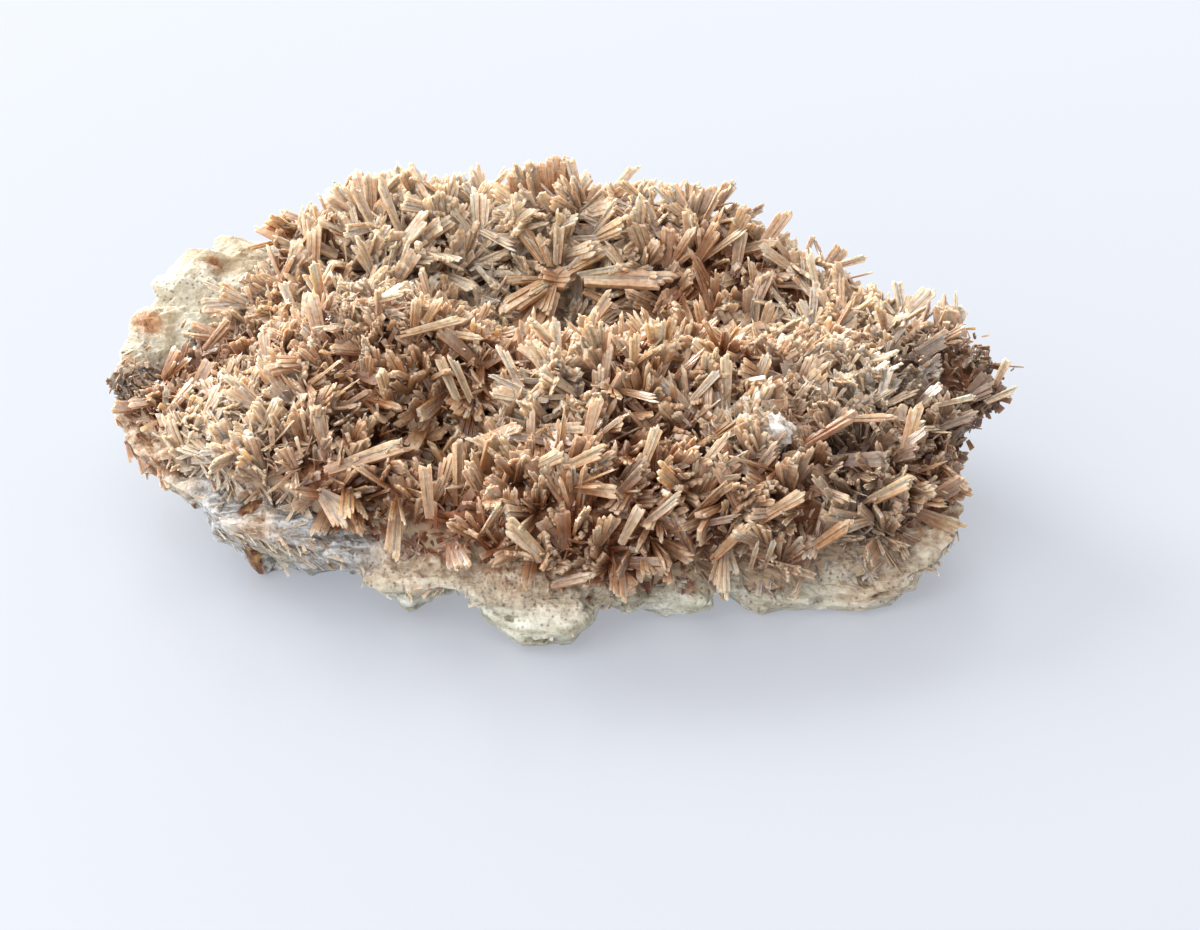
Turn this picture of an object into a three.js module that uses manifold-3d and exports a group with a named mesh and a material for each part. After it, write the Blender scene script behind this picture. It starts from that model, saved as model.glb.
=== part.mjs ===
// An inesite specimen: a hand-sized plate of quartz-bearing rock whose top and front
// are grown over by a crust of bladed crystals. The crust rises in a dome on the left,
// sinks to a pocket in front of it and to a hollow behind the middle, and a star of
// long blades stands in that hollow. The bare rock shows as a cream shoulder at the
// left rear and as a scalloped rim below the crystals in front.
// Millimetres, +Z up. X runs along the plate, Y from its front to its back, and the
// origin is the middle of the underside that it rests on.
import * as THREE from "three";
import { mergeVertices } from "three/addons/utils/BufferGeometryUtils.js";
import Module from "manifold-3d";

const wasm = await Module();
wasm.setup();

// ---- Driving dimensions ----

const CRUST_LEVEL = 11.6; // general height of the crust's top, crystals left out
const CRUST_EDGE_POWER = 2.7; // how squarely the crust turns down at its edge
const ROCK_COVER = 3.6; // how far the rock lies below the crust's top
const SEAT_GAP = 0.3; // clearance between neighbouring pieces

// The axis that angles and radii are measured round, from the middle of the specimen.
const AXIS_X = -0.3;
const AXIS_Y = -2.5;

// Rock, by angle round the plate: [degrees, rim radius, rim height, edge radius, edge height].
// The rim is the widest line. The edge is where the broken side turns under the plate.
const ROCK_STATIONS = [
  [0, 26.2, 6.2, 22.5, 2.2],
  [15, 25.2, 5.6, 22.4, 1.0],
  [30, 23.8, 5.2, 21.8, 0.4],
  [45, 22.4, 5.2, 20.6, 0.0],
  [60, 22.8, 5.6, 20.8, 0.2],
  [75, 21.2, 5.8, 19.4, 0.7],
  [90, 21.4, 6.2, 18.8, 1.2],
  [105, 21.4, 6.2, 19.2, 0.5],
  [120, 24.2, 6.8, 21.0, 0.0],
  [135, 29.4, 10.2, 24.0, 0.6],
  [143, 32.2, 10.8, 26.4, 1.6],
  [152, 31.8, 10.6, 27.0, 2.6],
  [157, 30.6, 9.4, 26.6, 3.0],
  [161, 32.4, 9.6, 27.4, 3.2],
  [168, 31.2, 8.9, 26.8, 3.4],
  [176, 31.4, 8.8, 26.0, 3.8],
  [184, 30.2, 6.8, 25.4, 3.4],
  [195, 26.8, 5.2, 23.6, 1.6],
  [204, 25.2, 4.6, 22.8, 0.0],
  [212, 23.6, 4.4, 20.6, 1.2],
  [224, 20.6, 3.6, 18.4, 2.2],
  [235, 19.8, 2.4, 18.4, 0.7],
  [245, 18.4, 3.0, 16.8, 2.3],
  [253, 18.8, 2.5, 17.6, 1.5],
  [260, 20.2, 1.6, 19.2, 0.1],
  [268, 20.4, 1.6, 19.4, 0.0],
  [278, 17.9, 2.4, 16.6, 1.6],
  [286, 17.2, 1.8, 16.0, 0.6],
  [295, 18.2, 1.6, 17.2, 0.2],
  [303, 18.9, 2.4, 17.2, 2.0],
  [309, 20.0, 1.4, 19.6, 0.1],
  [316, 22.0, 1.4, 21.4, 0.0],
  [326, 25.6, 1.8, 24.8, 0.0],
  [335, 27.4, 3.6, 25.6, 2.2],
  [347, 26.4, 5.4, 23.2, 3.2],
];

// Crust, by angle: [degrees, widest radius, height of the widest line, hem radius, hem height].
// The hem is the line where the crystals stop and the rock below is bare.
const CRUST_STATIONS = [
  [0, 30.4, 8.8, 27.8, 7.0],
  [9, 28.4, 9.4, 26.4, 6.0],
  [18, 25.8, 10.2, 24.0, 5.0],
  [35, 23.6, 10.2, 22.2, 4.4],
  [50, 22.8, 10.8, 21.0, 4.2],
  [60, 23.6, 11.4, 21.4, 4.4],
  [75, 22.6, 11.8, 20.6, 4.8],
  [90, 23.0, 12.0, 21.0, 5.4],
  [104, 22.8, 11.8, 21.0, 5.4],
  [118, 25.4, 11.6, 23.0, 5.8],
  [130, 27.8, 11.6, 25.2, 7.2],
  [140, 28.2, 11.2, 26.0, 8.4],
  [150, 26.6, 10.6, 24.6, 8.4],
  [162, 26.0, 9.4, 24.6, 7.6],
  [173, 28.6, 8.4, 27.8, 6.8],
  [181, 30.6, 7.6, 29.2, 5.6],
  [191, 28.6, 6.8, 27.0, 4.6],
  [200, 25.6, 6.8, 23.8, 5.0],
  [212, 22.8, 7.2, 21.0, 5.4],
  [226, 19.0, 6.6, 18.2, 4.0],
  [240, 18.2, 6.0, 17.8, 3.2],
  [255, 18.2, 5.6, 18.0, 2.6],
  [270, 18.4, 5.4, 18.0, 2.4],
  [285, 17.8, 5.0, 17.2, 1.9],
  [300, 18.8, 4.8, 18.5, 2.0],
  [315, 21.6, 4.6, 21.5, 2.0],
  [328, 25.8, 4.8, 25.4, 2.5],
  [340, 26.8, 6.2, 25.8, 3.4],
  [352, 27.6, 8.0, 25.6, 5.4],
];

// Rises and dips of the crust's top: [x, y, rise, half-width along X, half-width along Y].
const CRUST_RELIEF = [
  [-13.0, 1.5, 5.2, 5.6, 5.2], // dome on the left
  [-19.5, -1.5, 1.0, 4.5, 4.5], // its flank
  [-8.0, -9.0, -3.8, 4.2, 4.0], // pocket in front of the dome
  [2.5, -3.6, 2.4, 7.5, 3.6], // crest in front of the hollow
  [14.0, -2.0, 1.4, 7.0, 3.4], // and its run to the right
  [-1.0, 9.6, -3.8, 8.4, 4.6], // hollow
  [-1.0, 20.5, 4.8, 6.5, 4.6], // back rim
  [10.0, 17.6, 5.0, 7.0, 5.4], // back rim, right
  [-12.5, 18.5, 4.0, 7.5, 5.6], // back rim, left
  [-21.0, 14.0, 2.6, 6.0, 5.6], // left rear corner
  [26.8, 3.2, 3.6, 4.2, 3.8], // hump at the right end
  [13.0, 7.0, -1.8, 6.0, 3.6], // dip between hollow and plateau
  [-27.0, 3.0, -1.6, 6.0, 8.0], // the left end falls away
];

// Where blades grow longer or shorter than the rest: [x, y, change, half-width].
const BLADE_LENGTH = 3.3;
const BLADE_GROWTH = [
  [-8.5, -9.0, 1.2, 5.0], // long in the pocket
  [-1.0, 14.0, 1.4, 9.0], // and round the hollow
  [-15.0, 2.0, -0.9, 7.0], // short on the dome
  [20.0, -2.0, -0.8, 8.0], // and on the plateau
];

const SIDE_SHORTENING = 0.62; // blades on the sides against those on top

// The bed is studded with small points, and the larger blades are fused on top of it.
const BED_RINGS = 21;
const POINT_RISE = 1.1; // how far a point stands out from the bed
const POINT_LEAN = 0.3; // how far it leans sideways at most
const POINT_SHARE = 0.5; // share of the bed's corners that are drawn out to points
const BLADE_COUNT = 96;
const BLADE_SPACING = 3.0; // least distance between the roots of two large blades
const BLADE_SEED = 1887;

// Star of blades in the hollow: [bearing, climb, length, width], bearing from +X towards +Y.
const STAR_MIDDLE = new THREE.Vector3(-0.6, 13.4, 11.5);
const STAR_HUB_RADIUS = 1.5;
const STAR_BLADES = [
  [-17, 2, 6.6, 1.5],
  [22, 24, 5.0, 1.1],
  [60, 40, 4.6, 1.1],
  [92, 40, 4.8, 1.2],
  [134, 24, 6.0, 1.2],
  [162, 14, 5.0, 1.1],
  [187, 2, 6.3, 1.3],
  [214, -4, 6.2, 1.4],
  [248, 12, 4.6, 1.1],
  [276, 6, 5.2, 1.4],
  [304, 22, 4.2, 1.0],
  [324, -4, 5.8, 1.2],
];

const QUARTZ_MIDDLE = new THREE.Vector3(13.2, -9.4, 10.2);
const QUARTZ_SIZE = new THREE.Vector3(1.9, 1.5, 1.5); // half-sizes of the white knob

// ---- Shared shaping ----

const degrees = THREE.MathUtils.degToRad;

// Random numbers that come out the same in every run.
function seeded(seed) {
  let state = seed >>> 0;
  return () => {
    state = (state + 0x6d2b79f5) >>> 0;
    let t = Math.imul(state ^ (state >>> 15), state | 1);
    t = (t + Math.imul(t ^ (t >>> 7), t | 61)) ^ t;
    return ((t ^ (t >>> 14)) >>> 0) / 4294967296;
  };
}

// One column of a station list at any angle, easing from each station to the next.
function atAngle(stations, column, angle) {
  const turn = ((THREE.MathUtils.radToDeg(angle) % 360) + 360) % 360;
  const next = stations.findIndex((s) => s[0] > turn);
  const after = next < 0 ? stations[0] : stations[next];
  const before = next < 0 ? stations.at(-1) : stations[next - 1];
  const span = after[0] - before[0] + (next < 0 ? 360 : 0);
  const ease = (1 - Math.cos((Math.PI * (turn - before[0])) / span)) / 2;
  return before[column] * (1 - ease) + after[column] * ease;
}

// A closed surface from a pole through rings of points to another pole.
function loft(first, rings, last) {
  const segments = rings[0].length;
  const points = [first, ...rings.flat(), last];
  const ringStart = (ring) => 1 + ring * segments;
  const faces = [];
  for (let i = 0; i < segments; i++) {
    const j = (i + 1) % segments;
    faces.push(0, ringStart(0) + i, ringStart(0) + j);
    for (let ring = 0; ring + 1 < rings.length; ring++) {
      const [a, b] = [ringStart(ring) + i, ringStart(ring) + j];
      const [c, d] = [ringStart(ring + 1) + i, ringStart(ring + 1) + j];
      faces.push(a, c, b, b, c, d);
    }
    const end = ringStart(rings.length - 1);
    faces.push(points.length - 1, end + j, end + i);
  }
  const geometry = new THREE.BufferGeometry().setFromPoints(points);
  geometry.setIndex(faces);
  return geometry;
}

function ringOf(segments, pointAt) {
  const ring = [];
  for (let i = 0; i < segments; i++) ring.push(pointAt((i / segments) * 2 * Math.PI, i));
  return ring;
}

function solidFrom(geometry) {
  const bare = geometry.clone();
  for (const name of Object.keys(bare.attributes)) {
    if (name !== "position") bare.deleteAttribute(name);
  }
  const merged = mergeVertices(bare, 1e-4);
  return new wasm.Manifold(
    new wasm.Mesh({
      numProp: 3,
      vertProperties: new Float32Array(merged.attributes.position.array),
      triVerts: new Uint32Array(merged.index.array),
    }),
  );
}

// The solid's largest body as a flat-shaded geometry, so that no loose crumb is left.
function geometryFrom(solid) {
  const bodies = solid.decompose();
  const body = bodies.reduce((a, b) => (a.volume() > b.volume() ? a : b));
  const mesh = body.getMesh();
  const geometry = new THREE.BufferGeometry();
  geometry.setAttribute("position", new THREE.BufferAttribute(mesh.vertProperties, 3));
  geometry.setIndex(new THREE.BufferAttribute(mesh.triVerts, 1));
  const facets = geometry.toNonIndexed();
  facets.computeVertexNormals();
  return facets;
}

// The same closed surface moved outwards, for cutting a neighbour clear of it.
function swollen(geometry, distance) {
  const grown = geometry.clone();
  grown.computeVertexNormals();
  const { position, normal } = grown.attributes;
  for (let i = 0; i < position.count; i++) {
    const point = new THREE.Vector3().fromBufferAttribute(position, i);
    point.addScaledVector(new THREE.Vector3().fromBufferAttribute(normal, i), distance);
    position.setXYZ(i, point.x, point.y, point.z);
  }
  return grown;
}

// ---- Crust surface ----

function crustLevel(x, y) {
  let level = CRUST_LEVEL;
  for (const [cx, cy, rise, wx, wy] of CRUST_RELIEF) {
    level += rise * Math.exp(-(((x - cx) / wx) ** 2) - ((y - cy) / wy) ** 2);
  }
  return level;
}

const TOP_SHARE = 0.72; // share of the way from middle to hem that is the top
const SIDE_SHARE = 0.87; // and where the widest line lies
const TOP_REACH = 0.9; // radius where the top ends, as a share of the widest

// A point of the crust without its blades. way runs from 0 in the middle to 1 at the hem.
function crustPoint(angle, way) {
  const widest = atAngle(CRUST_STATIONS, 1, angle);
  const widestHeight = atAngle(CRUST_STATIONS, 2, angle);
  const power = CRUST_EDGE_POWER;
  let reach;
  if (way <= TOP_SHARE) {
    reach = (way / TOP_SHARE) * TOP_REACH;
  } else if (way < SIDE_SHARE) {
    const start = Math.asin(TOP_REACH ** (power / 2));
    const turn = start + ((way - TOP_SHARE) / (SIDE_SHARE - TOP_SHARE)) * (Math.PI / 2 - start);
    reach = Math.sin(turn) ** (2 / power);
  } else {
    const down = (way - SIDE_SHARE) / (1 - SIDE_SHARE);
    const radius = widest + (atAngle(CRUST_STATIONS, 3, angle) - widest) * down * down;
    const height = widestHeight + (atAngle(CRUST_STATIONS, 4, angle) - widestHeight) * down;
    return new THREE.Vector3(radius * Math.cos(angle), radius * Math.sin(angle), height);
  }
  const x = widest * reach * Math.cos(angle);
  const y = widest * reach * Math.sin(angle);
  const share = Math.max(0, 1 - reach ** power) ** (1 / power);
  return new THREE.Vector3(x, y, widestHeight + (crustLevel(x, y) - widestHeight) * share);
}

// Outward direction of the crust's surface at a point of it.
function crustFacing(angle, way) {
  const step = 0.01;
  const [low, high] = [Math.max(way - step, 0.001), Math.min(way + step, 1)];
  const round = crustPoint(angle + step, way).sub(crustPoint(angle - step, way));
  const down = crustPoint(angle, high).sub(crustPoint(angle, low));
  return down.cross(round).normalize();
}

const FLOOR_SHARE = 0.6; // how far out the bed's flat floor reaches, as a share of the hem
const FLOOR_HEIGHT = 2.5;

// The bed's corners lie on rings of 6, 12, 18 ... so that its facets are all of a size.
// Some corners are drawn out to the points of small crystals.
function crustBed() {
  const random = seeded(BLADE_SEED);
  const corners = [crustPoint(0, 0)];
  const faces = [];
  const start = (ring) => 1 + 3 * ring * (ring - 1);
  for (let ring = 1; ring <= BED_RINGS; ring++) {
    const way = ring / BED_RINGS;
    for (let i = 0; i < 6 * ring; i++) {
      const angle = (i / (6 * ring)) * 2 * Math.PI;
      const corner = crustPoint(angle, way);
      const lean = new THREE.Vector3(random() - 0.5, random() - 0.5, random() - 0.5);
      const drawn = random() < POINT_SHARE && ring < BED_RINGS - 1;
      const rise = drawn ? POINT_RISE * (0.4 + random()) : 0;
      corner.addScaledVector(crustFacing(angle, way), rise);
      corner.addScaledVector(lean, ring < BED_RINGS ? 2 * POINT_LEAN : 0);
      corners.push(corner);
    }
    const [inner, outer] = [6 * (ring - 1), 6 * ring];
    for (let side = 0; side < 6; side++) {
      for (let i = 0; i < ring; i++) {
        const at = side * ring + i;
        const a = start(ring) + at;
        const b = start(ring) + ((at + 1) % outer);
        const first = ring > 1 ? start(ring - 1) + ((side * (ring - 1) + i) % inner) : 0;
        faces.push(first, a, b);
        if (i + 1 < ring) {
          const second = start(ring - 1) + ((side * (ring - 1) + i + 1) % inner);
          faces.push(first, b, second);
        }
      }
    }
  }
  // The floor lies inside the rock, whose cut then gives the crust its own underside.
  const round = 6 * BED_RINGS;
  const hem = start(BED_RINGS);
  const floor = corners.length;
  for (let i = 0; i < round; i++) {
    const { x, y } = corners[hem + i];
    corners.push(new THREE.Vector3(x * FLOOR_SHARE, y * FLOOR_SHARE, FLOOR_HEIGHT));
  }
  const middle = corners.push(new THREE.Vector3(0, 0, FLOOR_HEIGHT)) - 1;
  for (let i = 0; i < round; i++) {
    const j = (i + 1) % round;
    faces.push(hem + i, floor + i, hem + j, hem + j, floor + i, floor + j);
    faces.push(middle, floor + j, floor + i);
  }
  const geometry = new THREE.BufferGeometry().setFromPoints(corners);
  geometry.setIndex(faces);
  return geometry;
}

// ---- Rock ----

const ROCK_TOP_RINGS = [0.5, 0.85]; // shares of the rim's radius
const SOLE_SHARE = 0.62; // how far out the flat sole reaches, as a share of the edge

function rockTop(angle, share) {
  const rim = atAngle(ROCK_STATIONS, 1, angle);
  const x = rim * share * Math.cos(angle);
  const y = rim * share * Math.sin(angle);
  const buried = Math.max(4.6, crustLevel(x, y) - ROCK_COVER);
  const blend = share ** 5;
  const height = Math.min(buried, 9) * (1 - blend) + atAngle(ROCK_STATIONS, 2, angle) * blend;
  return new THREE.Vector3(x, y, height);
}

// The rock as broken: every ring is roughened a little, so that its sides are faceted.
function rockBody() {
  const segments = 84;
  const rough = seeded(31);
  const jolt = (size) => (rough() - 0.5) * size;
  const station = (column) => (angle) => atAngle(ROCK_STATIONS, column, angle);
  const [rimRadius, rimHeight, edgeRadius, edgeHeight] = [1, 2, 3, 4].map(station);
  const sideRing = (radiusAt, heightAt, roughness) =>
    ringOf(segments, (angle) => {
      const radius = radiusAt(angle) + jolt(roughness);
      const height = Math.max(0, heightAt(angle) + jolt(roughness * 0.6));
      return new THREE.Vector3(radius * Math.cos(angle), radius * Math.sin(angle), height);
    });
  const topRing = (share) =>
    ringOf(segments, (angle) => rockTop(angle, share).add(new THREE.Vector3(0, 0, jolt(0.5))));
  const waistRadius = (angle) => rimRadius(angle) * 0.45 + edgeRadius(angle) * 0.55 + 0.4;
  const waistHeight = (angle) => (rimHeight(angle) + edgeHeight(angle)) / 2;
  const rings = [
    ...ROCK_TOP_RINGS.map(topRing),
    sideRing(rimRadius, rimHeight, 0.7),
    sideRing(waistRadius, waistHeight, 0.8),
    sideRing(edgeRadius, edgeHeight, 0.5),
    sideRing((angle) => edgeRadius(angle) * 0.8, (angle) => edgeHeight(angle) * 0.4 + 0.3, 0.6),
    sideRing((angle) => edgeRadius(angle) * SOLE_SHARE, () => 0, 0),
  ];
  return loft(rockTop(0, 0), rings, new THREE.Vector3(0.8, 0.5, 0));
}

// ---- Blades ----

// A flat prismatic crystal that stands on z = 0 and ends in a slanting chisel edge.
function blade(length, width, thickness) {
  const w = width / 2;
  const t = thickness / 2;
  const shoulder = length * 0.84;
  const points = [
    [-w * 0.8, -t, 0], [w * 0.8, -t, 0], [w * 0.8, t, 0], [-w * 0.8, t, 0],
    [-w, -t, shoulder * 0.96], [w, -t, shoulder], [w, t, shoulder], [-w, t, shoulder * 0.96],
    [-w * 0.15, 0, length], [w * 0.6, 0, length * 0.97],
  ].map((p) => new THREE.Vector3(...p));
  const faces = [
    0, 2, 1, 0, 3, 2,
    0, 1, 5, 0, 5, 4, 1, 2, 6, 1, 6, 5, 2, 3, 7, 2, 7, 6, 3, 0, 4, 3, 4, 7,
    4, 5, 9, 4, 9, 8, 6, 7, 8, 6, 8, 9, 5, 6, 9, 7, 4, 8,
  ];
  const geometry = new THREE.BufferGeometry().setFromPoints(points);
  geometry.setIndex(faces);
  return geometry;
}

// Stands a blade on foot, pointing along direction and rolled about it.
function placed(geometry, foot, direction, roll) {
  const stand = new THREE.Quaternion().setFromUnitVectors(new THREE.Vector3(0, 0, 1), direction);
  const spin = new THREE.Quaternion().setFromAxisAngle(new THREE.Vector3(0, 0, 1), roll);
  const turn = stand.multiply(spin);
  return geometry.applyMatrix4(
    new THREE.Matrix4().compose(foot, turn, new THREE.Vector3(1, 1, 1)),
  );
}

function bladeLength(point) {
  let length = BLADE_LENGTH;
  for (const [x, y, change, width] of BLADE_GROWTH) {
    length += change * Math.exp(-((point.x - x) ** 2 + (point.y - y) ** 2) / width ** 2);
  }
  return length;
}

// Roots of the large blades, spread over the crust by dropping those too close.
function bladeRoots(random) {
  const roots = [];
  for (let tries = 0; roots.length < BLADE_COUNT && tries < 6000; tries++) {
    const angle = random() * 2 * Math.PI;
    const way = Math.sqrt(random());
    const point = crustPoint(angle, way);
    const clear = roots.every((root) => root.point.distanceTo(point) > BLADE_SPACING);
    if (clear && way < 0.95) roots.push({ point, way, normal: crustFacing(angle, way) });
  }
  return roots;
}

// Each blade leans away from the surface's normal and is rooted just under the bed.
function crustBlades() {
  const random = seeded(BLADE_SEED + 1);
  return bladeRoots(random).map(({ point, normal, way }) => {
    const across = new THREE.Vector3(-normal.y, normal.x, 0.01).cross(normal).normalize();
    const along = normal.clone().cross(across);
    const bearing = random() * 2 * Math.PI;
    const lean = degrees(25 + 40 * random());
    const direction = normal
      .clone()
      .multiplyScalar(Math.cos(lean))
      .addScaledVector(across, Math.sin(lean) * Math.cos(bearing))
      .addScaledVector(along, Math.sin(lean) * Math.sin(bearing));
    const shortening = way > TOP_SHARE ? SIDE_SHORTENING : 1;
    const length = bladeLength(point) * (0.8 + 0.4 * random()) * shortening;
    const width = 1.0 + 0.5 * random();
    const foot = point.clone().addScaledVector(normal, -0.8);
    const shape = blade(length + 0.8, width, width * 0.5);
    return placed(shape, foot, direction, random() * Math.PI);
  });
}

// The star's blades spring from a small hub, with their wide faces turned up.
function starParts() {
  const hub = new THREE.IcosahedronGeometry(STAR_HUB_RADIUS, 0);
  hub.translate(STAR_MIDDLE.x, STAR_MIDDLE.y, STAR_MIDDLE.z);
  const blades = STAR_BLADES.map(([bearing, climb, length, width]) => {
    const direction = new THREE.Vector3(
      Math.cos(degrees(bearing)) * Math.cos(degrees(climb)),
      Math.sin(degrees(bearing)) * Math.cos(degrees(climb)),
      Math.sin(degrees(climb)),
    );
    const shape = blade(length, width, width * 0.45);
    return placed(shape, STAR_MIDDLE, direction, degrees(bearing + 90));
  });
  return [hub, ...blades];
}

// A knob of white quartz with irregular facets, half sunk in the crust.
function quartzBody() {
  const ball = new THREE.IcosahedronGeometry(1, 1).deleteAttribute("normal").deleteAttribute("uv");
  const knob = mergeVertices(ball, 1e-4);
  const rough = seeded(7);
  const position = knob.attributes.position;
  for (let i = 0; i < position.count; i++) {
    const corner = new THREE.Vector3().fromBufferAttribute(position, i);
    corner.multiply(QUARTZ_SIZE).multiplyScalar(0.85 + 0.3 * rough()).add(QUARTZ_MIDDLE);
    position.setXYZ(i, corner.x, corner.y, corner.z);
  }
  return knob;
}

// ---- Assembly ----

function crustBody() {
  let solid = solidFrom(crustBed());
  for (const shape of [...crustBlades(), ...starParts()]) solid = solid.add(solidFrom(shape));
  for (const neighbour of [rockBody(), quartzBody()]) {
    solid = solid.subtract(solidFrom(swollen(neighbour, SEAT_GAP)));
  }
  return solid;
}

function piece(name, geometry, colour, roughness) {
  const material = new THREE.MeshStandardMaterial({ color: colour, roughness, metalness: 0 });
  material.flatShading = true;
  const mesh = new THREE.Mesh(geometry, material);
  mesh.name = name;
  return mesh;
}

const specimen = new THREE.Group();
specimen.position.set(AXIS_X, AXIS_Y, 0);
specimen.add(piece("matrix_rock", geometryFrom(solidFrom(rockBody())), 0xb9b2a0, 0.8));
specimen.add(piece("inesite_crust", geometryFrom(crustBody()), 0xa98365, 0.55));
specimen.add(piece("quartz_knob", geometryFrom(solidFrom(quartzBody())), 0xe6e2da, 0.35));

export default specimen;
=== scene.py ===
import math

import bpy
import numpy as np
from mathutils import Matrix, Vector, noise


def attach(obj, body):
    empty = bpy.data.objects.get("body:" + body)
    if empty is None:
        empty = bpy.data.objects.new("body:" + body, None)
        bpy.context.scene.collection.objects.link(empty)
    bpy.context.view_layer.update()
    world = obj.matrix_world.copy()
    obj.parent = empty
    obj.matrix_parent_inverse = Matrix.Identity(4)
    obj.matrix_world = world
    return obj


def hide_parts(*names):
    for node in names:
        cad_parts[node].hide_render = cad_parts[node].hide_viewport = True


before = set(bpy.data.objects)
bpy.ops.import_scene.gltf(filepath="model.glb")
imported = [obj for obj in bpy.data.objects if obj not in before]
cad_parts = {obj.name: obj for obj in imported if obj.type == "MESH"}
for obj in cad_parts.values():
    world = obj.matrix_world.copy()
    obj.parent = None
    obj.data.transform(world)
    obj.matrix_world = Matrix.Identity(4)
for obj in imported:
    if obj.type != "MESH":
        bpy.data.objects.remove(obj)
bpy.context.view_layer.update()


# ---- Camera ----
# The specimen lies on a table and is looked at from in front and a little above, from
# about a hand's length away, through a lens that keeps its far edge nearly as large.
MM = 0.001
AXIS = np.array([-0.3, -2.5, 0.0])  # the axis that angles and radii are measured round
LOOK_AT = np.array([1.6, -4.5, 4.1])
LOOK_DISTANCE = 236.5
LOOK_DOWN = math.radians(27)

camera_data = bpy.data.cameras.new("camera")
camera_data.lens = 105
camera_data.sensor_width = 36
camera_data.clip_start = 0.01
camera = bpy.data.objects.new("camera", camera_data)
camera_back = np.array([0, -math.cos(LOOK_DOWN), math.sin(LOOK_DOWN)])
camera.location = (LOOK_AT + LOOK_DISTANCE * camera_back) * MM
camera.rotation_euler = (math.pi / 2 - LOOK_DOWN, 0, 0)
bpy.context.scene.collection.objects.link(camera)
bpy.context.scene.camera = camera


# ---- Matrix rock ----
# A broken plate of quartz-bearing rock: dull cream on its weathered left shoulder, and
# milky and let through by light along the thin scalloped rim in front. It was knocked
# from a vein, so its sides are rough and its underside is a fresh flat break.

# [degrees, rim radius, rim height, edge radius, edge height], in millimetres.
ROCK_STATIONS = [
    [0, 26.2, 6.2, 22.5, 2.2],
    [15, 25.2, 5.6, 22.4, 1.0],
    [30, 23.8, 5.2, 21.8, 0.4],
    [45, 22.4, 5.2, 20.6, 0.0],
    [60, 22.8, 5.6, 20.8, 0.2],
    [75, 21.2, 5.8, 19.4, 0.7],
    [90, 21.4, 6.2, 18.8, 1.2],
    [105, 21.4, 6.2, 19.2, 0.5],
    [120, 24.2, 6.8, 21.0, 0.0],
    [135, 29.4, 10.2, 24.0, 0.6],
    [143, 32.2, 10.8, 26.4, 1.6],
    [152, 31.8, 10.6, 27.0, 2.6],
    [157, 30.6, 9.4, 26.6, 3.0],
    [161, 32.4, 9.6, 27.4, 3.2],
    [168, 31.2, 8.9, 26.8, 3.4],
    [176, 31.4, 8.8, 26.0, 3.8],
    [184, 30.2, 6.8, 25.4, 3.4],
    [195, 26.8, 5.2, 23.6, 1.6],
    [204, 25.2, 4.6, 22.8, 0.0],
    [212, 23.6, 4.4, 20.6, 1.2],
    [224, 20.6, 3.6, 18.4, 2.2],
    [235, 19.8, 2.4, 18.4, 0.7],
    [245, 18.4, 3.0, 16.8, 2.3],
    [253, 18.8, 2.5, 17.6, 1.5],
    [260, 20.2, 1.6, 19.2, 0.1],
    [268, 20.4, 1.6, 19.4, 0.0],
    [278, 17.9, 2.4, 16.6, 1.6],
    [286, 17.2, 1.8, 16.0, 0.6],
    [295, 18.2, 1.6, 17.2, 0.2],
    [303, 18.9, 2.4, 17.2, 2.0],
    [309, 20.0, 1.4, 19.6, 0.1],
    [316, 22.0, 1.4, 21.4, 0.0],
    [326, 25.6, 1.8, 24.8, 0.0],
    [335, 27.4, 3.6, 25.6, 2.2],
    [347, 26.4, 5.4, 23.2, 3.2],
]
ROCK_SEGMENTS = 84
ROCK_FINER = 5  # faces of the finished rock to each face of its rough form, round the plate
ROCK_STEPS = [6, 6, 12, 9, 9, 7, 7, 5]  # and to each ring of it, from its top to its sole
ROCK_TOP_RINGS = [0.5, 0.85]
ROCK_HIGHEST = 9.0
ROCK_COVER = 5.4  # how far the rock lies below the top of the crust
ROCK_LOWEST = 3.2  # how low that hidden top may go
SOLE_SHARE = 0.62  # the flat sole's radius, as a share of the edge's
CRUST_LEVEL = 11.6  # height of the crust's top before its rises and dips

# Rises and dips of the crust's top: [x, y, rise, half-width along X, half-width along Y].
CRUST_RELIEF = [
    [-13.0, 1.5, 5.2, 5.6, 5.2],
    [-19.5, -1.5, 1.0, 4.5, 4.5],
    [-8.0, -9.0, -3.8, 4.2, 4.0],
    [2.5, -3.6, 2.4, 7.5, 3.6],
    [14.0, -2.0, 1.4, 7.0, 3.4],
    [-1.0, 9.6, -3.8, 8.4, 4.6],
    [-1.0, 20.5, 4.8, 6.5, 4.6],
    [10.0, 17.6, 5.0, 7.0, 5.4],
    [-12.5, 18.5, 4.0, 7.5, 5.6],
    [-21.0, 14.0, 2.6, 6.0, 5.6],
    [26.8, 3.2, 3.6, 4.2, 3.8],
    [13.0, 7.0, -1.8, 6.0, 3.6],
    [-27.0, 3.0, -1.6, 6.0, 8.0],
]


def seeded(seed):
    """Random numbers from 0 to 1 that come out the same in every run."""
    state = seed
    while True:
        state = (state + 0x6D2B79F5) & 0xFFFFFFFF
        t = ((state ^ (state >> 15)) * (state | 1)) & 0xFFFFFFFF
        t ^= (t + (((t ^ (t >> 7)) * (t | 61)) & 0xFFFFFFFF)) & 0xFFFFFFFF
        yield ((t ^ (t >> 14)) & 0xFFFFFFFF) / 4294967296


def at_angle(stations, column, angle):
    """One column of a station list at any angle, easing from each station to the next."""
    rows = np.array(stations + [stations[0]], dtype=float)
    rows[-1, 0] += 360
    turn = np.degrees(angle) % 360
    after = np.searchsorted(rows[:, 0], turn, side="right")
    before = after - 1
    share = (turn - rows[before, 0]) / (rows[after, 0] - rows[before, 0])
    ease = (1 - np.cos(np.pi * share)) / 2
    return rows[before, column] * (1 - ease) + rows[after, column] * ease


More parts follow.
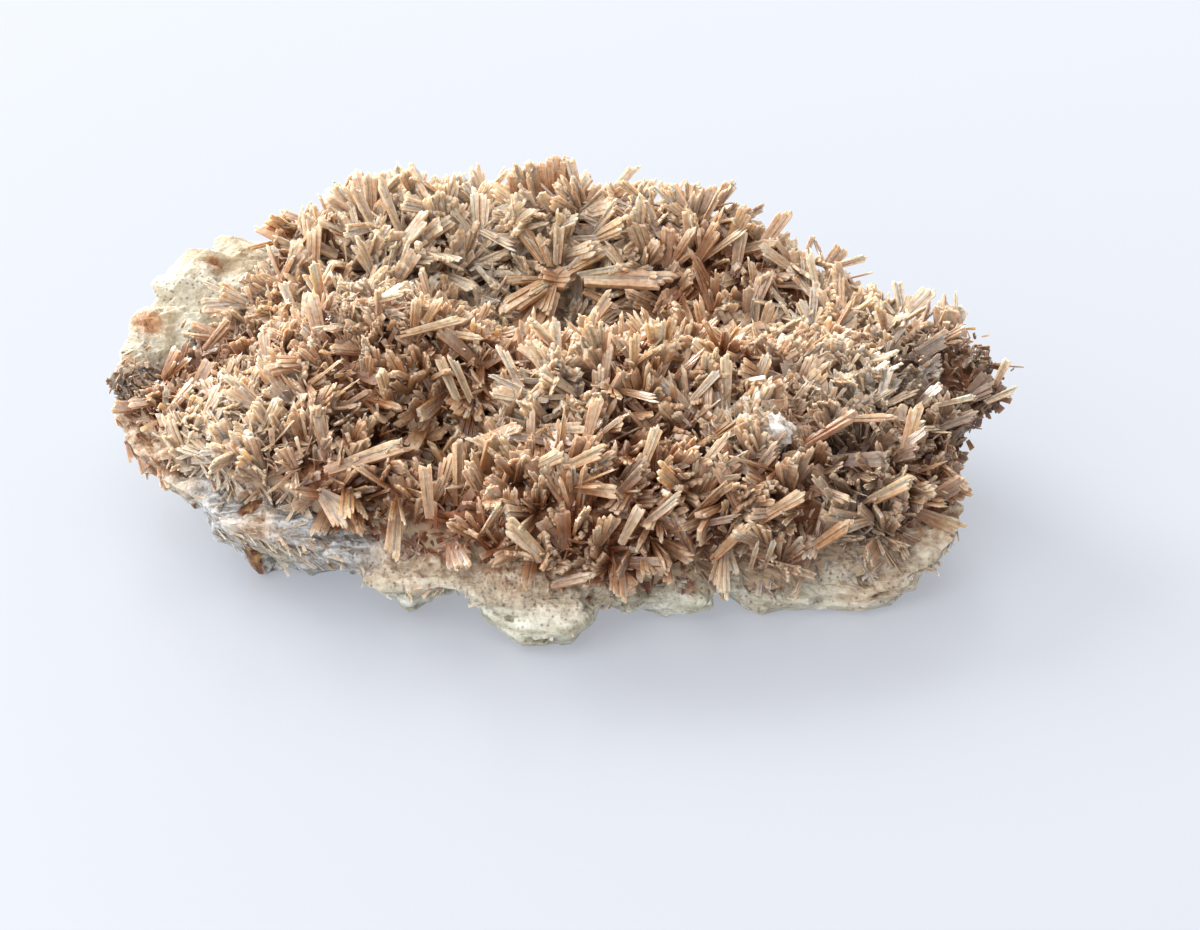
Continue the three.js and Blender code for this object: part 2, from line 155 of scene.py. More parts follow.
def crust_level(x, y):
    """Height of the crust's top over a place."""
    level = np.full(np.shape(x), CRUST_LEVEL)
    for cx, cy, rise, wx, wy in CRUST_RELIEF:
        level = level + rise * np.exp(-(((x - cx) / wx) ** 2) - ((y - cy) / wy) ** 2)
    return level


def rock_rings():
    """The rock's rough form: a row of points from its top through its rim to its sole."""
    rough = seeded(31)
    angle = np.arange(ROCK_SEGMENTS) / ROCK_SEGMENTS * 2 * np.pi
    rim, rim_z, edge, edge_z = (at_angle(ROCK_STATIONS, column, angle) for column in (1, 2, 3, 4))

    def ring(radius, height, roughness):
        jolts = np.array([[next(rough), next(rough)] for _ in angle]) - 0.5
        radius = radius + jolts[:, 0] * roughness
        height = np.maximum(0, height + jolts[:, 1] * roughness * 0.6)
        return np.stack([radius * np.cos(angle), radius * np.sin(angle), height], 1)

    def top_ring(share):
        x = rim * share * np.cos(angle)
        y = rim * share * np.sin(angle)
        buried = np.minimum(np.maximum(ROCK_LOWEST, crust_level(x, y) - ROCK_COVER), ROCK_HIGHEST)
        height = buried * (1 - share**5) + rim_z * share**5
        jolts = np.array([next(rough) for _ in angle]) - 0.5
        return np.stack([x, y, height + jolts * 0.5], 1)

    middle_z = min(crust_level(0, 0) - ROCK_COVER, ROCK_HIGHEST)
    top = np.tile([0, 0, middle_z], (ROCK_SEGMENTS, 1))
    rings = [top] + [top_ring(share) for share in ROCK_TOP_RINGS]
    rings.append(ring(rim, rim_z, 0.7))
    rings.append(ring(rim * 0.45 + edge * 0.55 + 0.4, (rim_z + edge_z) / 2, 0.8))
    rings.append(ring(edge, edge_z, 0.5))
    rings.append(ring(edge * 0.8, edge_z * 0.4 + 0.3, 0.6))
    rings.append(ring(edge * SOLE_SHARE, edge_z * 0, 0))
    rings.append(np.tile([0.8, 0.5, 0], (ROCK_SEGMENTS, 1)))
    return np.array(rings)


def finer_rings(rings, steps, finer):
    """Splits every face of a lofted form, evenly round it and by steps along it."""
    around = np.concatenate([rings, rings[:, :1]], 1)
    share = np.arange(finer)[None, None, :, None] / finer
    split = around[:, :-1, None] * (1 - share) + around[:, 1:, None] * share
    split = split.reshape(len(rings), -1, 3)
    rows = []
    for first, second, count in zip(split, split[1:], steps):
        for step in range(count):
            rows.append(first + (second - first) * step / count)
    return np.array(rows + [split[-1]])


def lofted_mesh(name, rows):
    """A closed mesh through rows of points, whose first and last rows are single points."""
    count = rows.shape[1]
    points = np.concatenate([rows[0][:1], rows[1:-1].reshape(-1, 3), rows[-1][:1]])
    here = np.arange(count)
    after = (here + 1) % count
    last_ring = 1 + (len(rows) - 3) * count
    faces = [(0, 1 + a, 1 + b) for a, b in zip(here, after)]
    for row in range(len(rows) - 3):
        start = 1 + row * count
        faces += [
            (start + a, start + count + a, start + count + b, start + b)
            for a, b in zip(here, after)
        ]
    faces += [(len(points) - 1, last_ring + b, last_ring + a) for a, b in zip(here, after)]
    mesh = bpy.data.meshes.new(name)
    mesh.from_pydata(points.tolist(), [], faces)
    mesh.update()
    return mesh


def mesh_arrays(mesh):
    """The places and normals of a mesh's points."""
    places = np.empty(len(mesh.vertices) * 3)
    normals = np.empty(len(mesh.vertices) * 3)
    mesh.vertices.foreach_get("co", places)
    mesh.vertices.foreach_get("normal", normals)
    return places.reshape(-1, 3), normals.reshape(-1, 3)


def place_points(mesh, points):
    """Moves a mesh's points to places measured in millimetres round the axis."""
    mesh.vertices.foreach_set("co", ((points + AXIS) * MM).ravel())
    mesh.update()


def spread(patches, x, y):
    """A value that is 1 at each patch [x, y, half-width] and fades away from it."""
    value = np.zeros(len(x))
    for cx, cy, width in patches:
        value = np.maximum(value, np.exp(-((x - cx) ** 2 + (y - cy) ** 2) / width**2))
    return value


def keep(mesh, name, values, kind="FLOAT", domain="POINT"):
    """Stores a value for each point or face of a mesh."""
    attribute = mesh.attributes.new(name, kind, domain)
    field = "vector" if kind == "FLOAT_VECTOR" else "value"
    attribute.data.foreach_set(field, np.asarray(values).ravel())


def linear(hex_colour):
    """An sRGB hex colour as the linear colour that shaders take."""
    channels = [int(hex_colour[i : i + 2], 16) / 255 for i in (1, 3, 5)]
    linears = [c / 12.92 if c <= 0.04045 else ((c + 0.055) / 1.055) ** 2.4 for c in channels]
    return (*linears, 1.0)


def wire(tree, node, inputs):
    """Sets or links a node's inputs, each found by its name or number."""
    for key, value in inputs.items():
        if isinstance(key, int):
            socket = node.inputs[key]
        else:
            socket = next(s for s in node.inputs if s.enabled and s.name == key)
        for given in value if isinstance(value, list) else [value]:
            if isinstance(given, bpy.types.NodeSocket):
                tree.links.new(given, socket)
            else:
                socket.default_value = given


def add(tree, kind, inputs=(), stops=(), **settings):
    """Adds a node with its settings, sets or links its inputs, and returns its first output."""
    made = tree.nodes.new(kind)
    for name, value in settings.items():
        setattr(made, name, value)
    wire(tree, made, dict(inputs))
    while stops and len(made.color_ramp.elements) < len(stops):
        made.color_ramp.elements.new(0.5)
    for number, (place, colour) in enumerate(stops):
        made.color_ramp.elements[number].position = place
        made.color_ramp.elements[number].color = linear(colour)
    return next((s for s in made.outputs if s.enabled), None)


def new_material(name):
    """A material with its node tree and its shader."""
    material = bpy.data.materials.new(name)
    material.use_nodes = True
    return material, material.node_tree, material.node_tree.nodes["Principled BSDF"]


def patch_share(tree, name, grain, softness=0.2):
    """How far a kept patch covers a place, with an edge that a noise breaks up."""
    painted = add(tree, "ShaderNodeAttribute", attribute_name=name).node.outputs["Fac"]
    centred = add(tree, "ShaderNodeMath", {0: grain, 1: 0.5}, operation="SUBTRACT")
    edge = add(tree, "ShaderNodeMath", {0: centred, 1: 1.4, 2: painted}, operation="MULTIPLY_ADD")
    return add(
        tree, "ShaderNodeMapRange",
        {"Value": edge, "From Min": 0.5 - softness, "From Max": 0.5 + softness},
    )


def show(mesh, name, material, node):
    """Puts a finished mesh in the scene as a piece that stands for a node of the part."""
    piece = bpy.data.objects.new(name, mesh)
    if material:
        mesh.materials.append(material)
    bpy.context.scene.collection.objects.link(piece)
    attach(piece, "root")
    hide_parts(node)
    return piece


rock_rows = finer_rings(rock_rings(), ROCK_STEPS, ROCK_FINER)
rock_mesh = lofted_mesh("matrix_rock_surface", rock_rows)
rock_points, rock_normals = mesh_arrays(rock_mesh)

# Grain, chipped hollows, thin growth ledges, steps and slanting facets stand proud of the
# rough form or cut into it, by these millimetres.
GRAIN_RISE = 0.16
CHIP_DEPTH = 0.7
LEDGE_RISE = 0.06
STEP_RISE = 0.12
FACET_RISE = 1.1
RELIEF_MIDDLE = 0.3
SHOULDER_RISE = 0.9
rock_relief = np.empty(len(rock_points))
for i, (x, y, z) in enumerate(rock_points):
    grain = noise.fractal(Vector((x, y, z)) * 0.9, 0.8, 2.1, 6)
    spot = Vector((x * 0.36, y * 0.36, z * 0.6))
    chunk = noise.voronoi(spot)[1][0]
    facet = (noise.cell_vector(chunk * 50) - Vector((0.5, 0.5, 0.5))).dot(spot - chunk)
    chips = abs(noise.noise(Vector((x * 0.34, y * 0.34, z * 0.6 + 40))))
    steps = noise.noise(Vector((x * 0.8, y * 0.8, z * 0.9 + 9)))
    ledges = math.sin(z * 5.2 + 2.4 * noise.noise(Vector((x * 0.16, y * 0.16, 7))))
    relief = GRAIN_RISE * grain - CHIP_DEPTH * chips + RELIEF_MIDDLE + LEDGE_RISE * ledges
    rock_relief[i] = relief + STEP_RISE * round(steps * 2) + FACET_RISE * facet
rock_relief += SHOULDER_RISE * spread([(-26, 16, 9)], rock_points[:, 0], rock_points[:, 1])
rock_lift = np.clip(rock_points[:, 2] / 0.8, 0.0, 1.0)
rock_points += rock_normals * (rock_relief * (0.15 + 0.85 * rock_lift))[:, None]
rock_points[:, 2] = np.maximum(rock_points[:, 2], 0.0)
place_points(rock_mesh, rock_points)

rock_x, rock_y, rock_z = rock_points.T
rock_front = np.clip((-6.0 - rock_y) / 3.0, 0.0, 1.0)
# Where the rock is weathered cream, stained brown, banded grey, rusty, tanned by the crust
# above it, or black with manganese where the crust ends.
keep(rock_mesh, "cream", spread([(-27, 17, 8), (-30, 9, 4.5), (-18, 20, 6)], rock_x, rock_y))
keep(rock_mesh, "stain", spread([(-29.6, 9.1, 1.5), (-25.5, 15.5, 0.9)], rock_x, rock_y))
keep(rock_mesh, "grey_band", spread([(-22, -8.5, 3.8), (-16, -12, 4.2)], rock_x, rock_y))
keep(rock_mesh, "rust", spread([(-26, -5.6, 1.4), (-20, -8, 1.1), (-21, -10, 1)], rock_x, rock_y))
rock_turn = np.degrees(np.arctan2(rock_y, rock_x)) % 360
rock_radius = np.hypot(rock_x, rock_y)
tip = np.clip((rock_turn - 168) / 6, 0, 1) * np.clip((207 - rock_turn) / 6, 0, 1)
tip *= np.clip((rock_z - 4.6) / 1.2, 0, 1) * np.clip((rock_radius - 22) / 2, 0, 1)
block = 0.62 * spread([(20, -13, 6), (26, -7, 6)], rock_x, rock_y) * np.clip((rock_z - 0.3), 0, 1)
upper = np.clip((rock_z - 1.8) / 2.4, 0, 1) * rock_front
keep(rock_mesh, "tan", np.maximum(tip, np.maximum(upper, block)))
BLACK_PATCHES = [
    (-30.4, 1.8, 1.9),
    (-28.4, 3.0, 1.8),
    (-26.8, 5.2, 1.7),
    (-25.6, 7.6, 1.6),
    (-23.8, 9.6, 1.5),
    (-23.2, 11.6, 1.2),
]
black_band = spread(BLACK_PATCHES, rock_x, rock_y) * np.clip((rock_z - 6.5) / 1.0, 0, 1)
keep(rock_mesh, "black", black_band)
# Its rear and its underside are fresh breaks, buff and granular.
rear = 0.8 * np.clip((rock_y - 3.0) / 6.0, 0.0, 1.0) * (rock_x > -24.0)
sole = np.clip((1.2 - rock_z), 0, 1) * (rock_radius < 16.5)
keep(rock_mesh, "under", np.maximum(rear, sole))

rock_material, tree, shader = new_material("vein quartz and weathered rock")
# Vein quartz is milky: light goes a millimetre or two into its thin edges. The weathered
# parts are dull and chalky, with iron stain in the cracks and black manganese specks. Every
# pattern's scale is how many of its grains, bands or fibres go to a millimetre.
place = add(tree, "ShaderNodeTexCoord").node.outputs["Object"]
fine = add(tree, "ShaderNodeTexNoise", {"Vector": place, "Scale": 1.5 / MM, "Detail": 6.0})
broad = add(tree, "ShaderNodeTexNoise", {"Vector": place, "Scale": 0.21 / MM, "Detail": 5.0})
layered = add(tree, "ShaderNodeMapping", {"Vector": place, "Scale": (0.4, 0.4, 2.4)})
bands = add(tree, "ShaderNodeTexNoise", {"Vector": layered, "Scale": 0.7 / MM, "Detail": 4.0})
slanting = add(
    tree, "ShaderNodeMapping",
    {"Vector": place, "Rotation": (0.0, 0.0, math.radians(28)), "Scale": (0.14, 1.5, 1.5)},
)
fibres = add(tree, "ShaderNodeTexNoise", {"Vector": slanting, "Scale": 1.7 / MM, "Detail": 3.0})
colour = add(
    tree, "ShaderNodeValToRGB", {"Fac": bands},
    [(0.3, "#96917C"), (0.46, "#BCB8A4"), (0.6, "#D3D0C0"), (0.75, "#E4E2D6")],
)
# [patch, its pattern, how soft its edge is, its colours], one over the other.
ROCK_PATCHES = [
    ("tan", fine, 0.5, [(0.34, "#8E6A4E"), (0.5, "#BE9F82"), (0.64, "#DCCBB4")]),
    ("under", broad, 0.3, [(0.3, "#857454"), (0.5, "#A6987C"), (0.7, "#C3B9A2")]),
    ("grey_band", fibres, 0.25, [(0.34, "#78716A"), (0.5, "#B3B2B0"), (0.66, "#DFE0DF")]),
    ("cream", broad, 0.15, [(0.3, "#A58D6A"), (0.45, "#BDB198"), (0.65, "#CCC5B4")]),
    ("stain", fine, 0.25, [(0.3, "#8D5A33"), (0.7, "#B98A5E")]),
    ("rust", fine, 0.1, [(0.35, "#3C2A18"), (0.5, "#7B4A25"), (0.65, "#A98A58")]),
    ("black", fine, 0.2, [(0.35, "#2C241B"), (0.5, "#5B4C3A"), (0.65, "#8C7C60")]),
]
for patch, pattern, softness, stops in ROCK_PATCHES:
    colour = add(
        tree, "ShaderNodeMix",
        {
            "Factor": patch_share(tree, patch, broad, softness), "A": colour,
            "B": add(tree, "ShaderNodeValToRGB", {"Fac": pattern}, stops),
        },
        data_type="RGBA",
    )
grains = add(tree, "ShaderNodeTexVoronoi", {"Vector": place, "Scale": 2.6 / MM})
specks = add(
    tree, "ShaderNodeMapRange",
    {"Value": grains, "From Min": 0.12, "From Max": 0.36, "To Min": 0.7, "To Max": 0.0},
)
speck_patches = add(tree, "ShaderNodeMapRange", {"Value": broad, "From Min": 0.36, "From Max": 0.52})
speck_share = add(tree, "ShaderNodeMath", {0: specks, 1: speck_patches}, operation="MULTIPLY")
colour = add(
    tree, "ShaderNodeMix", {"Factor": speck_share, "A": colour, "B": linear("#5C4A33")},
    data_type="RGBA",
)
relief = add(tree, "ShaderNodeMath", {0: fibres, 1: 0.6, 2: fine}, operation="MULTIPLY_ADD")
rough = add(
    tree, "ShaderNodeMapRange",
    {"Value": fine, "From Min": 0.3, "From Max": 0.7, "To Min": 0.32, "To Max": 0.7},
)
normal = add(tree, "ShaderNodeBump", {"Strength": 1.0, "Distance": 0.5 * MM, "Height": relief})
wire(tree, shader, {"Base Color": colour, "Roughness": rough, "Normal": normal, "IOR": 1.54})
wire(tree, shader, {"Subsurface Weight": 0.5, "Subsurface Scale": 1.4 * MM})
wire(tree, shader, {"Subsurface Radius": (1.0, 0.9, 0.75)})
show(rock_mesh, "matrix_rock_surface", rock_material, "matrix_rock")


# ---- Bed of the crust ----
# The crust is one mass of inesite grown together. Its compact red-brown base shows only as
# the dark between the crystals, which spring from it and hide nearly all of it.

# [degrees, widest radius, height of the widest line, hem radius, hem height].
CRUST_STATIONS = [
    [0, 30.4, 8.8, 27.8, 7.0],
    [9, 28.4, 9.4, 26.4, 6.0],
    [18, 25.8, 10.2, 24.0, 5.0],
    [35, 23.6, 10.2, 22.2, 4.4],
    [50, 22.8, 10.8, 21.0, 4.2],
    [60, 23.6, 11.4, 21.4, 4.4],
    [75, 22.6, 11.8, 20.6, 4.8],
    [90, 23.0, 12.0, 21.0, 5.4],
    [104, 22.8, 11.8, 21.0, 5.4],
    [118, 25.4, 11.6, 23.0, 5.8],
    [130, 27.8, 11.6, 25.2, 7.2],
    [140, 28.2, 11.2, 26.0, 8.4],
    [150, 26.6, 10.6, 24.6, 8.4],
    [162, 26.0, 9.4, 24.6, 7.6],
    [173, 28.6, 8.4, 27.8, 6.8],
    [181, 30.6, 7.6, 29.2, 5.6],
    [191, 28.6, 6.8, 27.0, 4.6],
    [200, 25.6, 6.8, 23.8, 5.0],
    [212, 22.8, 7.2, 21.0, 5.4],
    [226, 19.0, 6.6, 18.2, 4.0],
    [240, 18.2, 6.0, 17.8, 3.2],
    [255, 18.2, 5.6, 18.0, 2.6],
    [270, 18.4, 5.4, 18.0, 2.4],
    [285, 17.8, 5.0, 17.2, 1.9],
    [300, 18.8, 4.8, 18.5, 2.0],
    [315, 21.6, 4.6, 21.5, 2.0],
    [328, 25.8, 4.8, 25.4, 2.5],
    [340, 26.8, 6.2, 25.8, 3.4],
    [352, 27.6, 8.0, 25.6, 5.4],
]
CRUST_EDGE_POWER = 2.7
TOP_SHARE = 0.72
SIDE_SHARE = 0.87
TOP_REACH = 0.9
BED_DEPTH = 2.1  # how far the bed lies below the tips of the crystals
BED_ROUND = 240
BED_WAYS = 84
BED_FLOOR = 4.0  # where the bed closes, out of sight inside the rock


def crust_point(angle, way):
    """A point of the crust's outside. way runs from 0 in the middle to 1 at the hem."""
    columns = [at_angle(CRUST_STATIONS, column, angle) for column in (1, 2, 3, 4)]
    widest, widest_z, hem, hem_z = columns
    power = CRUST_EDGE_POWER
    start = math.asin(TOP_REACH ** (power / 2))
    share = np.clip((way - TOP_SHARE) / (SIDE_SHARE - TOP_SHARE), 0, 1)
    turned = np.sin(start + share * (np.pi / 2 - start)) ** (2 / power)
    reach = np.where(way <= TOP_SHARE, way / TOP_SHARE * TOP_REACH, turned)
    x = widest * reach * np.cos(angle)
    y = widest * reach * np.sin(angle)
    fall = np.maximum(0, 1 - reach**power) ** (1 / power)
    z = widest_z + (crust_level(x, y) - widest_z) * fall
    down = np.clip((way - SIDE_SHARE) / (1 - SIDE_SHARE), 0, 1)
    radius = widest + (hem - widest) * down * down
    side = way >= SIDE_SHARE
    x = np.where(side, radius * np.cos(angle), x)
    y = np.where(side, radius * np.sin(angle), y)
    z = np.where(side, widest_z + (hem_z - widest_z) * down, z)
    return np.stack([x, y, z], -1)


step = 0.004
bed_angle = np.arange(BED_ROUND) / BED_ROUND * 2 * np.pi
angles, ways = np.meshgrid(bed_angle, np.maximum(step, np.arange(BED_WAYS + 1) / BED_WAYS))
across = crust_point(angles + step, ways) - crust_point(angles - step, ways)
downward = crust_point(angles, np.minimum(ways + step, 1)) - crust_point(angles, ways - step)
facing = np.cross(downward, across)
facing /= np.linalg.norm(facing, axis=-1, keepdims=True)
hem_share = np.clip((ways - SIDE_SHARE) / (1 - SIDE_SHARE), 0, 1)
bed_rows = crust_point(angles, ways)
bed_depth = BED_DEPTH * (1 - 0.75 * hem_share)
# Where the bed lies deeper or less deep: [x, y, half-width, how much deeper].
BED_DEPTHS = [
    [-8.5, -9.0, 4.0, 1.9],
    [-1.0, 13.0, 6.5, 1.6],
    [0.5, 9.5, 4.4, 1.4],
    [28.0, 2.0, 5.0, -0.5],
    [18.0, 13.0, 7.0, -1.3],
    [6.0, 21.0, 8.0, -0.9],
    [-4.0, 21.0, 8.0, -0.8],
    [-14.0, 20.0, 7.0, -1.0],
]
for cx, cy, width, deeper in BED_DEPTHS:
    patch = np.exp(-((bed_rows[..., 0] - cx) ** 2 + (bed_rows[..., 1] - cy) ** 2) / width**2)
    bed_depth += deeper * patch * (1 - hem_share)
bed_rows -= facing * bed_depth[..., None]
bed_rows[0] = bed_rows[0].mean(0)
bed_floor = np.tile([0, 0, BED_FLOOR], (1, BED_ROUND, 1))
bed_mesh = lofted_mesh("inesite_bed", np.concatenate([bed_rows, bed_floor]))
bed_points, bed_normals = mesh_arrays(bed_mesh)
bed_x, bed_y = bed_points[:, :2].T
bed_hem = np.concatenate([[0], hem_share[1:].ravel(), [1]])

# Length that the crystals grow to: long in the pocket and the hollow, short on the dome,
# on the dusty plateau and at the hem. [change, patches], in millimetres.
REACH = 3.7
REACH_CHANGES = [
    [1.4, [(-8.5, -9, 5.5)]],
    [0.8, [(-1, 13, 9)]],
    [-1.7, [(1.5, 10.5, 3.5), (-0.5, 8, 3)]],
    [-0.5, [(7, 21, 6)]],
    [-1.2, [(-13.5, 2, 6), (-24, 0, 6)]],
    [-1.0, [(19, -1, 7.5)]],
    [-1.7, [(29, 0, 5)]],
    [-0.7, [(14, 19, 5), (20, 14, 5), (23, 9, 4)]],
]
reach = REACH + sum(change * spread(patches, bed_x, bed_y) for change, patches in REACH_CHANGES)
keep(bed_mesh, "reach", reach * (1 - 0.7 * bed_hem) * MM)
keep(bed_mesh, "hem", np.clip(3 * bed_hem - 0.2, 0, 1))
# The big crystals stop short of the hem in front and hang lower at the rear.
big_until = np.where(bed_y > 4.0, 0.85, 0.6)
keep(bed_mesh, "crust", np.clip((big_until - bed_hem) * 4, 0, 1))
keep(bed_mesh, "cover", (1 - bed_hem) ** 2)
# The dome, the left end and the plateau are frosted with very small crystals. Crystals are
# paler there, partly their own colour and partly painted light. Along the rear edge and on
# slopes turned from the lamps the paleness is painted light. Where the crystals stand deep they
# are darkened brown as painted shade. Black manganese dust lies on the right and at the left tip,
# and pinker crystals elsewhere.
BED_PATCHES = {
    "frost": [(-14, 2, 7), (-21, -3, 7), (19, -2, 6), (11, -8, 3), (-24, 11, 4)],
    "pale": [(-14, 5, 5), (-23, -6, 5.5), (-13, 14, 5), (-24, 11, 4), (19, -2, 5.5), (11, -8, 3)]
    + [(-10, 19, 6), (-6, 15, 5), (-1, 16, 4), (-2, 21, 6), (6, 21, 6), (16, 18, 5)]
    + [(16, 8, 4), (23, 8, 5), (-1, -5, 3), (11, -17.5, 3.5), (18, -15, 3.5)]
    + [(-18.5, -13.5, 3), (-12.5, -17, 3)],
    "deep": [(-11.5, -9.5, 4), (-7, -3.5, 4), (-17, -8, 4), (-2.5, -9, 3), (-2.5, -13, 4)]
    + [(4, -11, 5), (14.5, -11.5, 4), (-1.5, 7, 5), (4, 8, 4.5), (7, 11, 4), (10, 9.5, 4)]
    + [(9, 6, 3.5), (-1, 5, 2.5), (13, -9, 3)],
    "dust": [(24.5, -1.5, 4.6), (18.5, -9.0, 3.6), (28, 1, 2.0), (-27, 5, 2.6), (-24.5, 8.5, 2)],
    "blush": [(-17, 0, 7), (18, -2, 8), (3, -13, 5)],
}
for name, patches in BED_PATCHES.items():
    keep(bed_mesh, name, spread(patches, bed_x, bed_y))

bed_relief = np.array([0.35 * noise.fractal(Vector(p) * 1.1, 0.9, 2.0, 4) for p in bed_points])
place_points(bed_mesh, bed_points + bed_normals * bed_relief[:, None])

bed_material, tree, shader = new_material("compact inesite")
# Massive inesite is a fine felt of the same mineral, so it is deep red-brown and granular.
place = add(tree, "ShaderNodeTexCoord").node.outputs["Object"]
felt = add(tree, "ShaderNodeTexNoise", {"Vector": place, "Scale": 1.1 / MM, "Detail": 5.0})
felt_colour = add(
    tree, "ShaderNodeValToRGB", {"Fac": felt},
    [(0.3, "#553019"), (0.5, "#84502F"), (0.7, "#AC7C56")],
)
# At the hem it is mixed with the pale rock that it grew on.
painted_hem = add(tree, "ShaderNodeAttribute", attribute_name="hem").node.outputs["Fac"]
hem_mix = add(tree, "ShaderNodeMath", {0: painted_hem, 1: 0.8}, operation="MULTIPLY")
felt_colour = add(
    tree, "ShaderNodeMix", {"Factor": hem_mix, "A": felt_colour, "B": linear("#B3A084")},
    data_type="RGBA",
)
felt_normal = add(tree, "ShaderNodeBump", {"Strength": 0.9, "Distance": 0.4 * MM, "Height": felt})
wire(tree, shader, {"Base Color": felt_colour, "Roughness": 0.7, "Normal": felt_normal})
bed = show(bed_mesh, "inesite_bed", bed_material, "inesite_crust")


# ---- Shapes of the crystals ----
# Inesite grows as flat blades. Each is a bundle of thin parallel laths that end at
# different heights in chisel edges, and some bundles open like a fan.
SHAPE_SEED = 5
# [laths, rows, how far they fan out, how uneven, how pointed, how slanting their ends are].
# Rows 0 to 3 make needles, 1 to 7 slim blades, and 5 to 14 broad ones.
BUNDLES = [
    [1, 1, 0.0, 0.0, 0.0, 0.0],
    [2, 1, 0.2, 0.4, 0.2, 0.0],
    [2, 1, 0.3, 0.5, 0.0, 0.3],
    [3, 1, 0.2, 0.3, 0.4, 0.0],
    [3, 1, 0.3, 0.4, 0.3, 0.4],
    [3, 1, 0.05, 0.1, 0.1, 0.1],
    [3, 1, 0.05, 0.12, 0.0, 0.4],
    [4, 1, 0.05, 0.15, 0.3, 0.2],
    [5, 2, 0.0, 0.2, 0.0, 0.1],
    [4, 1, 0.0, 0.08, 0.0, -0.3],
    [4, 1, -0.2, 0.12, 0.5, 0.2],
    [5, 2, 0.08, 0.16, 0.0, 0.3],
    [3, 1, -0.1, 0.1, 0.2, -0.2],
    [4, 1, 0.2, 0.2, 0.0, 0.1],
    [6, 2, 0.4, 0.3, 0.0, -0.2],
]


def bundle_mesh(name, laths):
    """Parallel laths in a box one unit wide, deep and long, with their roots at height 0."""
    points, faces, cells, strands = [], [], [], []
    for slot, lath in enumerate(laths):
        middle, width, depth, back, foot, top, slant, splay, drop, lean = lath
        start = len(points)
        w = width / 2
        d = depth / 2
        shoulder = top - drop
        low = middle * 0.7
        high = middle + splay * shoulder
        tip = middle + splay * top
        points += [(low - w * 0.7, back - d, foot), (low + w * 0.7, back - d, foot)]
        points += [(low + w * 0.7, back + d, foot), (low - w * 0.7, back + d, foot)]
        near = back + lean - d
        far = back + lean + d
        points += [(high - w, near, shoulder - slant), (high + w, near, shoulder)]
        points += [(high + w, far, shoulder), (high - w, far, shoulder - slant)]
        blunt = w * (0.8 - 2.2 * drop)
        points += [(tip - blunt, back + lean, top - slant), (tip + blunt, back + lean, top)]
        quads = [(0, 3, 2, 1), (0, 1, 5, 4), (1, 2, 6, 5), (2, 3, 7, 6), (3, 0, 4, 7)]
        quads += [(4, 5, 9, 8), (6, 7, 8, 9), (5, 6, 9), (7, 4, 8)]
        faces += [tuple(start + corner for corner in quad) for quad in quads]
        ring = [0.1, 0.9, 0.7, 0.3]
        spots = [(u, 0.0) for u in ring] + [(u, 0.9 * top) for u in ring]
        spots += [(0.35, top), (0.65, top)]
        cells += [((slot + u) / len(laths), v, 0) for u, v in spots]
        strands += [slot * 0.37 % 1.0] * 10
    mesh = bpy.data.meshes.new(name)
    mesh.from_pydata(points, [], faces)
    keep(mesh, "lath", points, "FLOAT_VECTOR")
    keep(mesh, "cell_place", cells, "FLOAT_VECTOR")
    keep(mesh, "strand", strands)
    return mesh


bundles = bpy.data.collections.new("bundles")
chance = seeded(SHAPE_SEED)
for number, (count, rows, fan, uneven, pointed, slanting) in enumerate(BUNDLES):
    laths = []
    for slot in range(count):
        middle = (slot + 0.5) / count - 0.5 + (next(chance) - 0.5) * 0.12
        width = (1.15 + 0.5 * next(chance)) / count * (1.35 if rows == 2 else 1.0)
        depth = (0.65 + 0.4 * next(chance)) / rows
        back = ((slot % 2) - 0.5) * 0.5 * (rows - 1) + (next(chance) - 0.5) * 0.16
        foot = 0.12 * next(chance)
        top = 1.0 - uneven * next(chance) ** 1.5 - pointed * abs(middle) - slanting * middle / 2
        slant = (next(chance) - 0.4 + slanting) * 0.08
        drop = 0.02 + 0.09 * next(chance) ** 2
        splay = fan * middle + (next(chance) - 0.5) * 0.06
        lean = (next(chance) - 0.5) * 0.35
        laths.append([middle, width, depth, back, foot, top, slant, splay, drop, lean])
    name = f"bundle_{number:02d}"
    bundles.objects.link(bpy.data.objects.new(name, bundle_mesh(name, laths)))


# ---- Growth of the crystals ----
# Crystals spring from points in the bed. Sprays radiate from deep centres, single blades
# lie strewn over them where they grew sideways, and small ones fill every gap.


def new_tree(name, sockets):
    """A geometry node tree that takes a geometry and the named inputs, and gives one back."""
    tree = bpy.data.node_groups.new(name, "GeometryNodeTree")
    tree.interface.new_socket("Geometry", in_out="INPUT", socket_type="NodeSocketGeometry")
    for label, kind in sockets:
        tree.interface.new_socket(label, in_out="INPUT", socket_type=f"NodeSocket{kind}")
    tree.interface.new_socket("Geometry", in_out="OUTPUT", socket_type="NodeSocketGeometry")
    given = tree.nodes.new("NodeGroupInput").outputs
    return tree, given, tree.nodes.new("NodeGroupOutput").inputs["Geometry"]


